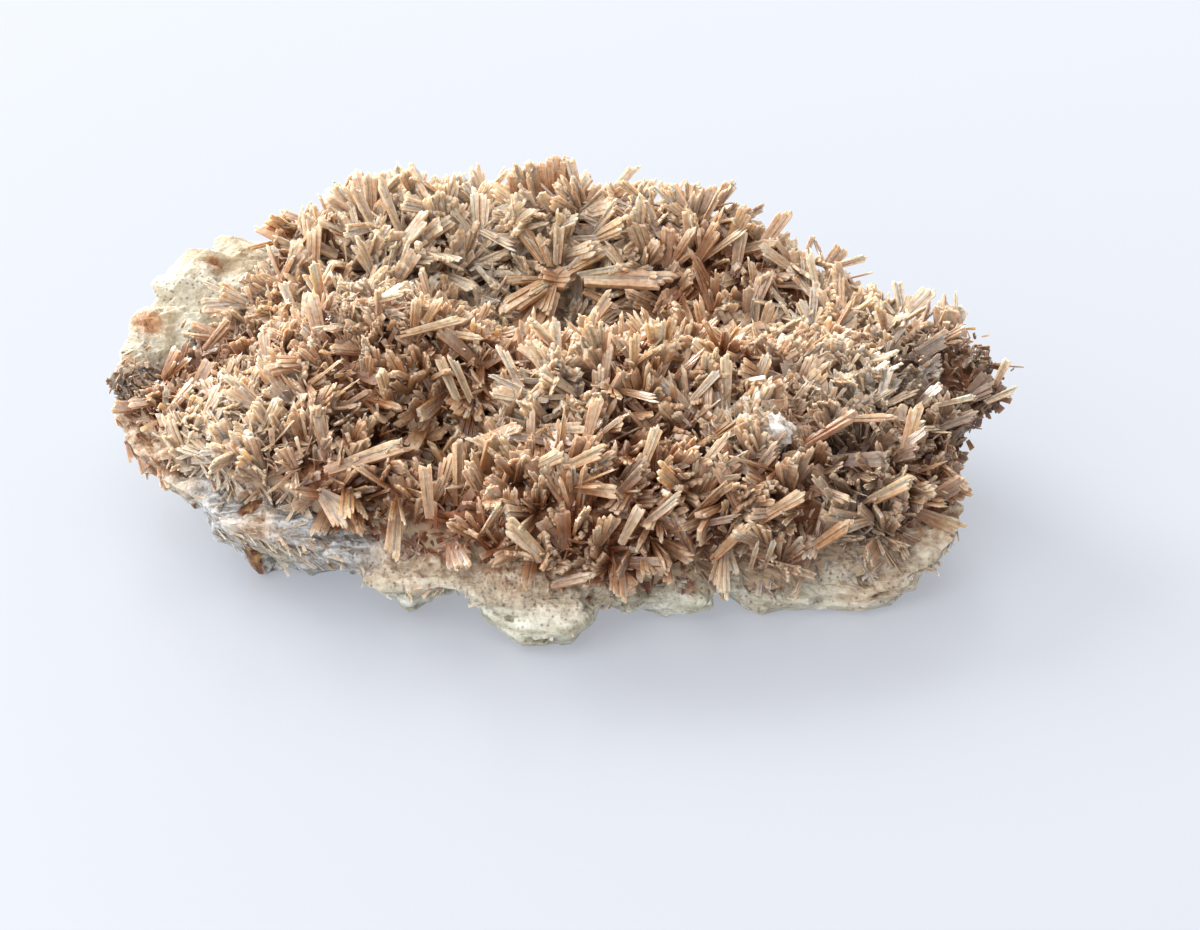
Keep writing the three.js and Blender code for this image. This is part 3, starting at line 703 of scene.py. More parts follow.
# Sow crystals: adds points to a surface, which say how a crystal stands on each.
SOWING = [
    ("Zone", "Int"),
    ("Where", "String"),
    ("Spacing", "Float"),
    ("Blades from each point", "Int"),
    ("Height over surface", "Float"),
    ("Shortest share of reach", "Float"),
    ("Longest share of reach", "Float"),
    ("Lowest climb", "Float"),
    ("Highest climb", "Float"),
    ("Narrowest", "Float"),
    ("Widest", "Float"),
    ("Roll", "Float"),
    ("First shape", "Int"),
    ("Last shape", "Int"),
    ("Sheaf share", "Float"),
    ("Grain", "Vector"),
    ("Grain share", "Float"),
    ("Seed", "Int"),
]
IN_MILLIMETRES = ("Spacing", "Height over surface", "Narrowest", "Widest")
sow_crystals, given, result = new_tree("sow crystals", SOWING)
tree = sow_crystals
own = {
    label: add(tree, "GeometryNodeInputNamedAttribute", {"Name": label}, data_type=kind)
    for label, kind in [
        ("zone", "INT"),
        ("cover", "FLOAT"),
        ("reach", "FLOAT"),
        ("upright", "FLOAT_VECTOR"),
        ("sheaf", "FLOAT_VECTOR"),
    ]
}
density = add(
    tree, "GeometryNodeInputNamedAttribute", {"Name": given["Where"]}, data_type="FLOAT"
)
in_zone = add(
    tree, "FunctionNodeCompare", {"A": own["zone"], "B": given["Zone"]}, data_type="INT",
    operation="EQUAL",
)
sown = add(
    tree, "GeometryNodeDistributePointsOnFaces",
    {
        "Mesh": given["Geometry"], "Selection": in_zone, "Distance Min": given["Spacing"],
        "Density Max": 9000000.0, "Density Factor": density, "Seed": given["Seed"],
    },
    distribute_method="POISSON",
)
points = add(
    tree, "GeometryNodeStoreNamedAttribute",
    {"Geometry": sown, "Name": "upright", "Value": sown.node.outputs["Normal"]},
    data_type="FLOAT_VECTOR",
)
# The crust thins out at its hem, and so does the height at which crystals start.
height = add(
    tree, "ShaderNodeMath", {0: own["cover"], 1: given["Height over surface"]},
    operation="MULTIPLY",
)
lifted = add(tree, "ShaderNodeVectorMath", {0: own["upright"], "Scale": height}, operation="SCALE")
points = add(tree, "GeometryNodeSetPosition", {"Geometry": points, "Offset": lifted})
# All the blades of one point may lean the same way, and so make a sheaf.
anyhow = add(
    tree, "FunctionNodeRandomValue",
    {"Min": (-1.0, -1.0, -1.0), "Max": (1.0, 1.0, 1.0), "Seed": given["Seed"]},
    data_type="FLOAT_VECTOR",
)
points = add(
    tree, "GeometryNodeStoreNamedAttribute", {"Geometry": points, "Name": "sheaf", "Value": anyhow},
    data_type="FLOAT_VECTOR",
)
points = add(
    tree, "GeometryNodeDuplicateElements",
    {"Geometry": points, "Amount": given["Blades from each point"]}, domain="POINT",
)
# A random number between two others for each point, from a seed of its own.
random_numbers = {}
for number, (label, low, high) in enumerate(
    [
        ("share", given["Shortest share of reach"], given["Longest share of reach"]),
        ("climb", given["Lowest climb"], given["Highest climb"]),
        ("width", given["Narrowest"], given["Widest"]),
        ("thickness", 0.24, 0.42),
        ("half roll", -0.5, 0.5),
        ("tint", 0.0, 1.0),
    ]
):
    random_numbers[label] = add(
        tree, "FunctionNodeRandomValue",
        {
            "Min": low, "Max": high,
            "Seed": add(tree, "ShaderNodeMath", {0: given["Seed"], 1: 10.0 + number}),
        },
        data_type="FLOAT",
    )
anyhow = add(
    tree, "ShaderNodeMix", {"Factor": given["Sheaf share"], "A": anyhow, "B": own["sheaf"]},
    data_type="VECTOR",
)
sideways = add(
    tree, "ShaderNodeVectorMath", {0: own["upright"], 1: anyhow}, operation="CROSS_PRODUCT"
)
sideways = add(tree, "ShaderNodeVectorMath", {0: sideways}, operation="NORMALIZE")
combed = add(
    tree, "ShaderNodeMix", {"Factor": given["Grain share"], "A": sideways, "B": given["Grain"]},
    data_type="VECTOR",
)
climbing = add(
    tree, "ShaderNodeVectorMath", {0: own["upright"], "Scale": random_numbers["climb"]},
    operation="SCALE",
)
points_to = add(tree, "ShaderNodeVectorMath", {0: combed, 1: climbing}, operation="ADD")
points_to = add(tree, "ShaderNodeVectorMath", {0: points_to}, operation="NORMALIZE")
length = add(
    tree, "ShaderNodeMath", {0: own["reach"], 1: random_numbers["share"]}, operation="MULTIPLY",
)
thickness = add(
    tree, "ShaderNodeMath", {0: random_numbers["width"], 1: random_numbers["thickness"]},
    operation="MULTIPLY",
)
size = add(tree, "ShaderNodeCombineXYZ", {"X": random_numbers["width"], "Y": thickness, "Z": length})
roll = add(
    tree, "ShaderNodeMath", {0: random_numbers["half roll"], 1: given["Roll"]}, operation="MULTIPLY"
)
shape = add(
    tree, "FunctionNodeRandomValue",
    {"Min": given["First shape"], "Max": given["Last shape"], "Seed": given["Seed"]},
    data_type="INT",
)
for label, kind, value in [
    ("points_to", "FLOAT_VECTOR", points_to),
    ("size", "FLOAT_VECTOR", size),
    ("roll", "FLOAT", roll),
    ("tint", "FLOAT", random_numbers["tint"]),
    ("shape", "INT", shape),
]:
    points = add(
        tree, "GeometryNodeStoreNamedAttribute",
        {"Geometry": points, "Name": label, "Value": value}, data_type=kind,
    )
points = add(tree, "GeometryNodeJoinGeometry", {"Geometry": [points, given["Geometry"]]})
tree.links.new(points, result)

# Stand crystals: puts a bundle on every point and makes one plain mesh of them.
stand_crystals, given, result = new_tree(
    "stand crystals", [("Bundles", "Collection"), ("Bed", "Object"), ("Material", "Material")]
)
tree = stand_crystals
own = {
    label: add(tree, "GeometryNodeInputNamedAttribute", {"Name": label}, data_type=kind)
    for label, kind in [
        ("points_to", "FLOAT_VECTOR"),
        ("upright", "FLOAT_VECTOR"),
        ("size", "FLOAT_VECTOR"),
        ("lath", "FLOAT_VECTOR"),
        ("cell_place", "FLOAT_VECTOR"),
        ("roll", "FLOAT"),
        ("tint", "FLOAT"),
        ("strand", "FLOAT"),
        ("cell", "FLOAT"),
        ("shape", "INT"),
        ("placed", "BOOLEAN"),
    ]
}
parts = add(tree, "GeometryNodeSeparateComponents", {"Geometry": given["Geometry"]}).node.outputs
by_hand = add(tree, "GeometryNodeMeshToPoints", {"Mesh": parts["Mesh"], "Selection": own["placed"]})
points = add(tree, "GeometryNodeJoinGeometry", {"Geometry": [parts["Point Cloud"], by_hand]})
total = add(tree, "GeometryNodeAttributeDomainSize", {"Geometry": points}, component="POINTCLOUD")
points = add(
    tree, "GeometryNodeStoreNamedAttribute",
    {"Geometry": points, "Name": "cell", "Value": add(tree, "GeometryNodeInputIndex")},
    data_type="FLOAT",
)
aimed = add(tree, "FunctionNodeAlignRotationToVector", {"Vector": own["points_to"]}, axis="Z")
faced = add(
    tree, "FunctionNodeAlignRotationToVector", {"Rotation": aimed, "Vector": own["upright"]},
    axis="Y", pivot_axis="Z",
)
rolled = add(
    tree, "FunctionNodeRotateRotation",
    {
        "Rotation": faced,
        "Rotate By": add(
            tree, "FunctionNodeAxisAngleToRotation",
            {"Axis": (0.0, 0.0, 1.0), "Angle": own["roll"]},
        ),
    },
    rotation_space="LOCAL",
)
shapes = add(
    tree, "GeometryNodeCollectionInfo",
    {"Collection": given["Bundles"], "Separate Children": True, "Reset Children": True},
)
placed = add(
    tree, "GeometryNodeInstanceOnPoints",
    {
        "Points": points, "Instance": shapes, "Pick Instance": True, "Instance Index": own["shape"],
        "Rotation": rolled, "Scale": own["size"],
    },
)
solid = add(tree, "GeometryNodeRealizeInstances", {"Geometry": placed})

# The striping along each blade is laid out in its own metres, and shifted from lath to lath.
shift = add(tree, "ShaderNodeMath", {0: own["tint"], 1: own["strand"]}, operation="ADD")
local = add(tree, "ShaderNodeVectorMath", {0: own["lath"], 1: own["size"]}, operation="MULTIPLY")
stripe_place = add(tree, "ShaderNodeVectorMath", {0: local, 1: shift}, operation="ADD")
along = add(tree, "ShaderNodeSeparateXYZ", {"Vector": own["lath"]}).node.outputs["Z"]
over_bed = add(
    tree, "GeometryNodeProximity",
    {0: add(tree, "GeometryNodeObjectInfo", {"Object": given["Bed"]}).node.outputs["Geometry"]},
    target_element="FACES",
).node.outputs["Distance"]

# Each crystal has its own square in the colour map.
side = add(tree, "ShaderNodeMath", {0: total}, operation="SQRT")
side = add(tree, "ShaderNodeMath", {0: side}, operation="CEIL")
column = add(tree, "ShaderNodeMath", {0: own["cell"], 1: side}, operation="MODULO")
row = add(tree, "ShaderNodeMath", {0: own["cell"], 1: side}, operation="DIVIDE")
row = add(tree, "ShaderNodeMath", {0: row}, operation="FLOOR")
corner = add(tree, "ShaderNodeCombineXYZ", {"X": column, "Y": row})
inside = add(
    tree, "ShaderNodeVectorMath",
    {0: own["cell_place"], 1: (0.86, 0.86, 0.0), 2: (0.07, 0.07, 0.0)}, operation="MULTIPLY_ADD",
)
spot = add(tree, "ShaderNodeVectorMath", {0: corner, 1: inside}, operation="ADD")
one = add(tree, "ShaderNodeMath", {0: 1.0, 1: side}, operation="DIVIDE")
spot = add(tree, "ShaderNodeVectorMath", {0: spot, "Scale": one}, operation="SCALE")
for label, kind, domain, value in [
    ("stripe_place", "FLOAT_VECTOR", "POINT", stripe_place),
    ("along", "FLOAT", "POINT", along),
    ("over_bed", "FLOAT", "POINT", over_bed),
    ("OFBake", "FLOAT2", "CORNER", spot),
]:
    solid = add(
        tree, "GeometryNodeStoreNamedAttribute", {"Geometry": solid, "Name": label, "Value": value},
        data_type=kind, domain=domain,
    )
solid = add(tree, "GeometryNodeSetMaterial", {"Geometry": solid, "Material": given["Material"]})
tree.links.new(solid, result)


def grown_mesh(name, base, layers, zone, **standing):
    """Sows each layer's crystals on a copy of a base mesh and returns the plain result.

    A layer's row holds the inputs of sow crystals in their order, without the zone.
    """
    steps = []
    for row in layers:
        values = dict(zip([label for label, kind in SOWING], [zone, *row]))
        values.update({label: values[label] * MM for label in IN_MILLIMETRES})
        steps.append((sow_crystals, values))
    steps.append((stand_crystals, {"Bed": bed, **standing}))
    working = bpy.data.objects.new("working", base.copy())
    bpy.context.scene.collection.objects.link(working)
    for tree, values in steps:
        modifier = working.modifiers.new(tree.name, "NODES")
        modifier.node_group = tree
        for item in tree.interface.items_tree:
            if item.item_type == "SOCKET" and item.name in values:
                modifier[item.identifier] = values[item.name]
    seen = working.evaluated_get(bpy.context.evaluated_depsgraph_get())
    mesh = bpy.data.meshes.new_from_object(seen)
    mesh.name = name
    bpy.data.objects.remove(working)
    return mesh


blade_material, tree, shader = new_material("silky bladed inesite")
# Inesite blades are tan to flesh pink, glassy on their flat faces, and finely striped along
# their length. Light goes into them. Near the bed they are painted orange-brown, as painted
# shade between close blades, and they go cream where the tip frays. The stripes are fibres about 0.1
# mm apart.
place = add(tree, "ShaderNodeTexCoord").node.outputs["Object"]
blade_values = {
    name: add(tree, "ShaderNodeAttribute", attribute_name=name).node.outputs["Fac"]
    for name in ("tint", "along", "over_bed", "blush", "pale", "deep", "strand")
}
stripe_place = add(tree, "ShaderNodeAttribute", attribute_name="stripe_place").node.outputs["Vector"]
stretched = add(
    tree, "ShaderNodeMapping", {"Vector": stripe_place, "Scale": (5 / MM, 5 / MM, 0.42 / MM)}
)
stripes = add(
    tree, "ShaderNodeTexNoise",
    {"Vector": stretched, "Scale": 1.0, "Detail": 4.0, "Roughness": 0.7},
)
cloud = add(tree, "ShaderNodeTexNoise", {"Vector": place, "Scale": 0.3 / MM, "Detail": 3.0})
tone = add(
    tree, "ShaderNodeMath", {0: blade_values["strand"], 1: 0.3, 2: blade_values["tint"]},
    operation="MULTIPLY_ADD",
)
tone = add(tree, "ShaderNodeMapRange", {"Value": tone, "From Max": 1.3})
colour = add(
    tree, "ShaderNodeValToRGB", {"Fac": tone},
    [
        (0.0, "#AE8354"),
        (0.25, "#C49D70"),
        (0.5, "#D8BD93"),
        (0.74, "#EADBBE"),
        (0.9, "#F6EFE0"),
        (1.0, "#FFFDF6"),
    ],
)
broad = add(tree, "ShaderNodeTexNoise", {"Vector": place, "Scale": 0.26 / MM, "Detail": 2.0})
pink_cloud = add(tree, "ShaderNodeMapRange", {"Value": broad, "From Min": 0.44, "From Max": 0.6})
blushed = add(
    tree, "ShaderNodeMath", {0: pink_cloud, 1: blade_values["blush"]}, operation="MAXIMUM",
)
dusted = patch_share(tree, "dust", cloud, 0.35)
# Painted shade: those in the deep patches, the pockets and the hollow, are darkened brown at the root
# and less towards the tip.
rootward = add(
    tree, "ShaderNodeMath", {0: blade_values["along"], 1: -0.4, 2: 1.15}, operation="MULTIPLY_ADD",
)
painted_root_shade = add(tree, "ShaderNodeMath", {0: blade_values["deep"], 1: rootward}, operation="MULTIPLY")
# [share, its range from and to, its least and most, colour laid over].
for share, low, high, least, most, over in [
    (blushed, 0.0, 1.0, 0.0, 0.5, "#D2AE98"),
    # painted shade: blades are darkened orange-brown close to the bed, in the shaded gaps between
    # them
    (blade_values["over_bed"], 0.2 * MM, 3.4 * MM, 0.95, 0.0, "#854626"),
    # painted shade in the pockets and the hollow, strongest at the root
    (painted_root_shade, 0.1, 0.9, 0.0, 0.66, "#8A5A39"),
    # paler crystals, partly their own colour and partly painted light on slopes turned from the lamps
    (blade_values["pale"], 0.1, 0.9, 0.0, 0.76, "#F4EDE2"),
    (blade_values["along"], 0.55, 1.0, 0.0, 0.42, "#FFF8EA"),
    (dusted, 0.0, 1.0, 0.0, 0.72, "#5A4E49"),
]:
    factor = add(
        tree, "ShaderNodeMapRange",
        {"Value": share, "From Min": low, "From Max": high, "To Min": least, "To Max": most},
    )
    colour = add(
        tree, "ShaderNodeMix", {"Factor": factor, "A": colour, "B": linear(over)}, data_type="RGBA"
    )
stripe_tone = add(
    tree, "ShaderNodeValToRGB", {"Fac": stripes},
    [(0.34, "#B6895C"), (0.48, "#EED8BA"), (0.6, "#FFFFFF")],
)
# Cleavage cracks and included fluid cloud the blades in spots a few tenths of a millimetre wide.
mottle = add(tree, "ShaderNodeTexNoise", {"Vector": place, "Scale": 3 / MM, "Detail": 4.0})
mottle_tone = add(
    tree, "ShaderNodeValToRGB", {"Fac": mottle},
    [(0.34, "#CFB090"), (0.5, "#F6EADB"), (0.64, "#FFFFFF")],
)
for tone in (stripe_tone, mottle_tone):
    colour = add(
        tree, "ShaderNodeMix", {"Factor": 0.65, "A": colour, "B": tone}, data_type="RGBA",
        blend_type="MULTIPLY",
    )
rough = add(
    tree, "ShaderNodeMapRange",
    {"Value": stripes, "From Min": 0.3, "From Max": 0.7, "To Min": 0.38, "To Max": 0.1},
)
height = add(tree, "ShaderNodeMath", {0: mottle, 1: 0.5, 2: stripes}, operation="MULTIPLY_ADD")
normal = add(tree, "ShaderNodeBump", {"Strength": 0.6, "Distance": 0.08 * MM, "Height": height})
wire(tree, shader, {"Base Color": colour, "Roughness": rough, "Normal": normal})
wire(tree, shader, {"IOR": 1.62, "Specular IOR Level": 0.4})
wire(tree, shader, {"Subsurface Weight": 0.8, "Subsurface Scale": 0.4 * MM})
wire(tree, shader, {"Subsurface Radius": (1.0, 0.82, 0.6)})

UP = (0.0, 0.0, 1.0)
DOWN = (0.0, 0.0, -1.0)
NO_GRAIN = (0.0, 0.0, 0.0)
# The layers of crystals over the whole crust. Each row says where they grow, the spacing in
# millimetres, how many spring from each point and how high, their shortest and longest share
# of the reach, lowest and highest climb, narrowest and widest, roll, first and last shape,
# how much they make sheaves, the way they lean and how much, and a seed.
CRYSTAL_LAYERS = [
    # Sprays, strewn blades, a close under-layer, frost on the dome and the plateau, needles.
    ["crust", 3.2, 20, -0.8, 0.7, 1.3, 0.1, 1.5, 0.45, 1.25, math.tau, 5, 13, 0.45, UP, 0.22, 3],
    ["crust", 1.8, 3, 1.0, 0.45, 1.25, -0.1, 0.6, 0.3, 1.1, 1.6, 5, 14, 0.6, UP, 0.18, 4],
    ["crust", 0.62, 1, -0.1, 0.26, 0.56, 0.0, 1.6, 0.22, 0.55, math.tau, 1, 7, 0.0, NO_GRAIN, 0.0, 5],
    ["frost", 0.37, 1, 1.5, 0.22, 0.4, 0.1, 1.8, 0.12, 0.3, math.tau, 0, 3, 0.0, NO_GRAIN, 0.0, 6],
    ["crust", 0.85, 1, 1.0, 0.2, 0.55, -0.2, 1.2, 0.1, 0.3, math.tau, 0, 3, 0.0, NO_GRAIN, 0.0, 7],
    # The skirt of the crust is compact: fine fibres lie flat along it and comb downward.
    ["hem", 0.52, 2, 0.0, 0.4, 1.1, -0.04, 0.22, 0.12, 0.45, 1.0, 0, 3, 0.0, DOWN, 0.5, 15],
]

# The crust is made in zones: [name, lowest x, highest x, lowest y, highest y].
ZONES = [
    ["left_end_crystals", -40, -12, -30, 4],
    ["left_rear_crystals", -40, -10, 4, 30],
    ["front_crystals", -12, 5, -30, 4],
    ["hollow_crystals", -10, 8, 4, 30],
    ["right_front_crystals", 5, 40, -30, -3],
    ["right_rear_crystals", 5, 40, -3, 30],
]
centres = np.empty(len(bed_mesh.polygons) * 3)
bed_mesh.polygons.foreach_get("center", centres)
centres = centres.reshape(-1, 3) / MM - AXIS
zone_of_face = np.full(len(centres), -1)
for index, (name, low_x, high_x, low_y, high_y) in enumerate(ZONES):
    inside = (centres[:, 0] >= low_x) & (centres[:, 0] < high_x)
    inside &= (centres[:, 1] >= low_y) & (centres[:, 1] < high_y)
    zone_of_face[inside & (zone_of_face < 0)] = index
zone_of_face[-BED_ROUND:] = -1  # the closing faces inside the rock carry nothing
keep(bed_mesh, "zone", zone_of_face, "INT", "FACE")

# Fibres run on from the crust over the rock: along the broken left tip, in a seam along the
# ledge below it, and down the front rim. Blackened grains lie where the crust meets bare rock.
ALONG_TIP = (0.6, -0.6, -0.5)
ALONG_LEDGE = (0.85, -0.5, -0.15)
DOWN_RIM = (0.0, -0.3, -1.0)
ROCK_LAYERS = {
    "left_tip_crystals": ["tip", 0.6, 2, -0.05, 0.3, 1.1, -0.1, 0.12, 0.2, 0.7, 0.8]
    + [1, 12, 0.0, ALONG_TIP, 0.7, 11],
    "ledge_fibres": ["seam", 0.4, 2, -0.05, 0.25, 0.9, -0.06, 0.08, 0.05, 0.22, 1.0]
    + [0, 3, 0.0, ALONG_LEDGE, 0.62, 12],
    "rim_fibres": ["rim", 0.5, 2, -0.06, 0.2, 0.6, -0.1, 0.05, 0.06, 0.24, 1.0]
    + [0, 3, 0.0, DOWN_RIM, 0.45, 13],
    "blackened_grains": ["black", 0.34, 1, -0.1, 0.15, 0.45, 0.2, 2.0, 0.2, 0.45, math.tau]
    + [0, 7, 0.0, NO_GRAIN, 0.0, 14],
}
from_rock = rock_mesh.copy()
keep(from_rock, "tip", tip)
seam = np.clip((rock_turn - 196) / 4, 0, 1) * np.clip((224 - rock_turn) / 4, 0, 1)
seam *= np.clip((rock_z - 1.8) / 0.8, 0, 1) * np.clip((5.2 - rock_z) / 0.8, 0, 1)
keep(from_rock, "seam", seam)
rim = np.clip((rock_turn - 222) / 6, 0, 1) * np.clip((340 - rock_turn) / 6, 0, 1)
keep(from_rock, "rim", rim * np.clip((rock_z - 1.9) / 1.2, 0, 1) * np.clip((6.5 - rock_z), 0, 1))
keep(from_rock, "black", black_band)
keep(from_rock, "reach", np.full(len(rock_x), 2.0 * MM))
keep(from_rock, "cover", np.ones(len(rock_x)))
keep(from_rock, "blush", np.full(len(rock_x), 0.9))
keep(from_rock, "pale", 0.5 * (rock_z < 6.0))
keep(from_rock, "dust", 1.2 * black_band)
keep(from_rock, "zone", np.zeros(len(from_rock.polygons), dtype=int), "INT", "FACE")
inesite = {"Bundles": bundles, "Material": blade_material}
for name, layer in ROCK_LAYERS.items():
    crystals = grown_mesh(name, from_rock, [layer], 0, **inesite)
    show(crystals, name, None, "inesite_crust")
for index, (name, *_) in enumerate(ZONES):
    crystals = grown_mesh(name, bed_mesh, CRYSTAL_LAYERS, index, **inesite)
    show(crystals, name, None, "inesite_crust")


# ---- Star and single blades ----
# A star of the longest blades stands in the hollow, all from one point, and here and there
# a blade lies free on top of the rest. The ivory of the paler ones is partly their own colour
# and partly painted highlight. They are the same bundles, placed one by one.
STAR_MIDDLE = [-1.2, 13.4, 11.0]
# Painted shade: how much the star's blades are darkened at the root.
STAR_SHADE = 0.5  # how brown its blades are at the root
# [bearing, climb, length, width, tint, shape, distance of its root from the middle], in
# degrees and millimetres. The last ones are short and thick, and knit the middle together.
STAR_BLADES = [
    [-9, 3, 7.0, 1.4, 0.9, 9, 1.3],
    [27, 21, 3.6, 1.0, 0.75, 6, 1.0],
    [83, 57, 3.2, 0.7, 0.8, 5, 0.9],
    [122, 48, 2.6, 0.7, 0.7, 12, 0.9],
    [133, 36, 3.9, 1.1, 0.6, 9, 1.2],
    [197, 5, 2.8, 0.7, 0.3, 7, 1.2],
    [227, -7, 5.2, 1.5, 0.75, 10, 0.9],
    [245, -30, 5.6, 1.9, 0.3, 14, 0.5],
    [332, -14, 3.2, 0.5, 0.1, 7, 2.2],
    [-30, 12, 2.4, 1.3, 0.0, 8, -1.1],
    [40, 20, 2.2, 1.4, 0.1, 11, -1.0],
    [95, 30, 2.0, 1.2, 0.0, 8, -0.8],
    [200, 25, 2.1, 1.4, 0.1, 11, -0.6],
]
# [root x, y, z, tip x, y, z, width, tint], in millimetres and from 0, tan, to 1, ivory; the
# high tints are partly painted highlight.
SINGLE_BLADES = [
    [-3.1, -6.0, 11.4, -4.7, -2.9, 13.3, 0.75, 1.0],
    [-1.6, -18.1, 5.6, -4.0, -18.3, 8.4, 1.2, 0.95],
    [-1.2, -18.4, 3.9, 1.8, -18.7, 4.9, 0.9, 1.0],
    [7.7, -7.8, 11.6, 9.7, -6.4, 13.4, 0.6, 1.0],
    [-16.0, -12.4, 8.8, -10.4, -10.5, 10.0, 1.1, 0.75],
    [0.5, 9.0, 8.6, 2.7, 11.0, 10.9, 1.0, 0.5],
    [4.1, -5.0, 12.4, 4.2, -5.6, 15.6, 0.75, 0.8],
    [-13.4, -0.8, 15.6, -11.0, -1.0, 16.3, 0.6, 0.9],
    [-16.8, 2.1, 14.0, -17.4, 2.6, 17.2, 0.8, 0.7],
    [-7.4, -5.0, 10.2, -8.8, -3.9, 13.3, 0.75, 0.8],
    [-6.5, -5.2, 10.2, -7.9, -4.2, 13.2, 0.65, 0.8],
    [-11.4, -2.6, 14.0, -7.1, -1.6, 14.8, 0.65, 0.6],
    [-8.4, -0.9, 13.4, -5.7, -2.2, 13.6, 0.7, 0.7],
    [-3.1, -14.4, 9.8, -0.4, -14.2, 11.3, 1.0, 0.8],
    [3.2, -17.4, 6.2, 4.6, -17.0, 9.0, 0.8, 0.7],
    [4.4, -16.7, 7.0, 7.0, -16.2, 9.2, 0.7, 0.8],
    [9.0, -16.2, 4.4, 11.4, -16.6, 7.4, 0.75, 0.6],
    [11.5, -16.0, 3.6, 12.0, -16.8, 6.4, 0.45, 0.9],
    [12.4, -16.0, 3.9, 13.0, -16.6, 6.3, 0.4, 0.9],
    [12.9, -15.9, 4.2, 16.0, -15.9, 3.0, 0.55, 0.9],
    [19.0, -14.0, 7.5, 21.9, -13.0, 8.6, 1.0, 0.6],
    [21.6, -10.0, 9.0, 22.6, -8.0, 11.6, 0.95, 0.5],
    [18.3, -7.8, 10.4, 21.4, -8.5, 10.9, 0.8, 0.5],
    [23.8, -5.4, 10.2, 26.8, -4.8, 10.7, 0.45, 0.9],
    [28.2, -1.9, 9.8, 29.2, -1.6, 12.0, 0.6, 0.7],
    [27.4, -3.0, 9.2, 29.6, -2.8, 10.2, 0.55, 0.8],
    [1.0, -11.6, 10.6, 1.8, -9.8, 13.0, 0.9, 0.6],
    [8.2, -13.2, 9.4, 10.4, -12.0, 11.8, 0.8, 0.7],
    [11.9, -15.5, 7.0, 15.0, -15.2, 9.0, 0.95, 0.5],
    [-8.9, -15.5, 7.0, -9.3, -13.6, 10.4, 0.9, 0.5],
    [-0.8, -14.3, 9.9, 2.2, -14.2, 11.4, 1.0, 0.4],
    [-6.2, -7.8, 8.7, -3.2, -9.2, 10.6, 0.9, 0.6],
    [15.8, -14.8, 4.8, 18.2, -15.6, 7.2, 1.1, 0.5],
    [4.5, -13.7, 9.6, 5.6, -12.0, 12.2, 0.8, 0.7],
    [-3.6, 19.8, 14.0, -4.0, 20.4, 16.5, 1.7, 0.4],
    [-2.5, 19.9, 14.0, -2.8, 20.5, 17.0, 1.7, 0.5],
    [-1.5, 20.0, 14.2, -1.7, 20.5, 17.4, 1.7, 0.4],
    [-0.5, 20.0, 14.2, -0.6, 20.4, 17.7, 1.6, 0.5],
]
SINGLE_SHAPES = [5, 9, 6, 10, 8]  # the bundles that they take in turn
BLADE_THICKNESS = 0.32  # of its width

roots, aims, faces_up, sizes, tints, kinds = [], [], [], [], [], []
for bearing, climb, length, width, tint, shape, root in STAR_BLADES:
    # Each blade has a slimmer one grown against it.
    side = 3 + 8 * next(chance)
    for off, shorter, slimmer in ((0, 1.0, 1.0), (side, 0.35 + 0.4 * next(chance), 0.4)):
        turn = math.radians(bearing + off)
        rise = math.radians(climb + off)
        flat = np.array([math.cos(turn), math.sin(turn), 0]) * math.cos(rise)
        aims.append(flat + [0, 0, math.sin(rise)])
        roots.append(STAR_MIDDLE + root * aims[-1])
        faces_up.append([0.3 - 0.6 * next(chance), -0.5, 1])
        sizes.append([width * slimmer, width * slimmer * BLADE_THICKNESS, length * shorter])
        tints.append(tint)
        kinds.append(shape)
star_count = len(roots)
for row in SINGLE_BLADES:
    span = np.array(row[3:6]) - row[:3]
    length = np.linalg.norm(span)
    roots.append(row[:3])
    aims.append(span / length)
    faces_up.append([0, -0.6, 0.8])
    sizes.append([row[6] * 0.85, row[6] * BLADE_THICKNESS, length])
    tints.append(row[7])
    kinds.append(SINGLE_SHAPES[len(kinds) % len(SINGLE_SHAPES)])
blade_points = bpy.data.meshes.new("blade_points")
blade_points.from_pydata(((np.array(roots) + AXIS) * MM).tolist(), [], [])
for label, kind, values in [
    ("points_to", "FLOAT_VECTOR", aims),
    ("upright", "FLOAT_VECTOR", faces_up),
    ("size", "FLOAT_VECTOR", np.array(sizes) * MM),
    ("tint", "FLOAT", tints),
    ("deep", "FLOAT", STAR_SHADE * (np.arange(len(kinds)) < star_count)),
    ("roll", "FLOAT", np.zeros(len(kinds))),
    ("shape", "INT", kinds),
    ("placed", "BOOLEAN", np.ones(len(kinds), dtype=bool)),
]:
    keep(blade_points, label, values, kind)
blades = grown_mesh("star_and_single_blades", blade_points, [], 0, **inesite)
show(blades, "star_and_single_blades", None, "inesite_crust")


# ---- Quartz ----
# One knob of milky quartz sits in the crust on the right: a tight cluster of short
# six-sided crystals, sugary and snow white.
QUARTZ_MIDDLE = np.array([13.2, -9.4, 10.2])
QUARTZ_SIZE = np.array([1.7, 1.4, 1.35])
QUARTZ_SIDES = 6
QUARTZ_CORE = 0.82  # its core's size, as a share of the whole
QUARTZ_LUMPS = 0.3  # how far its lumps stand out

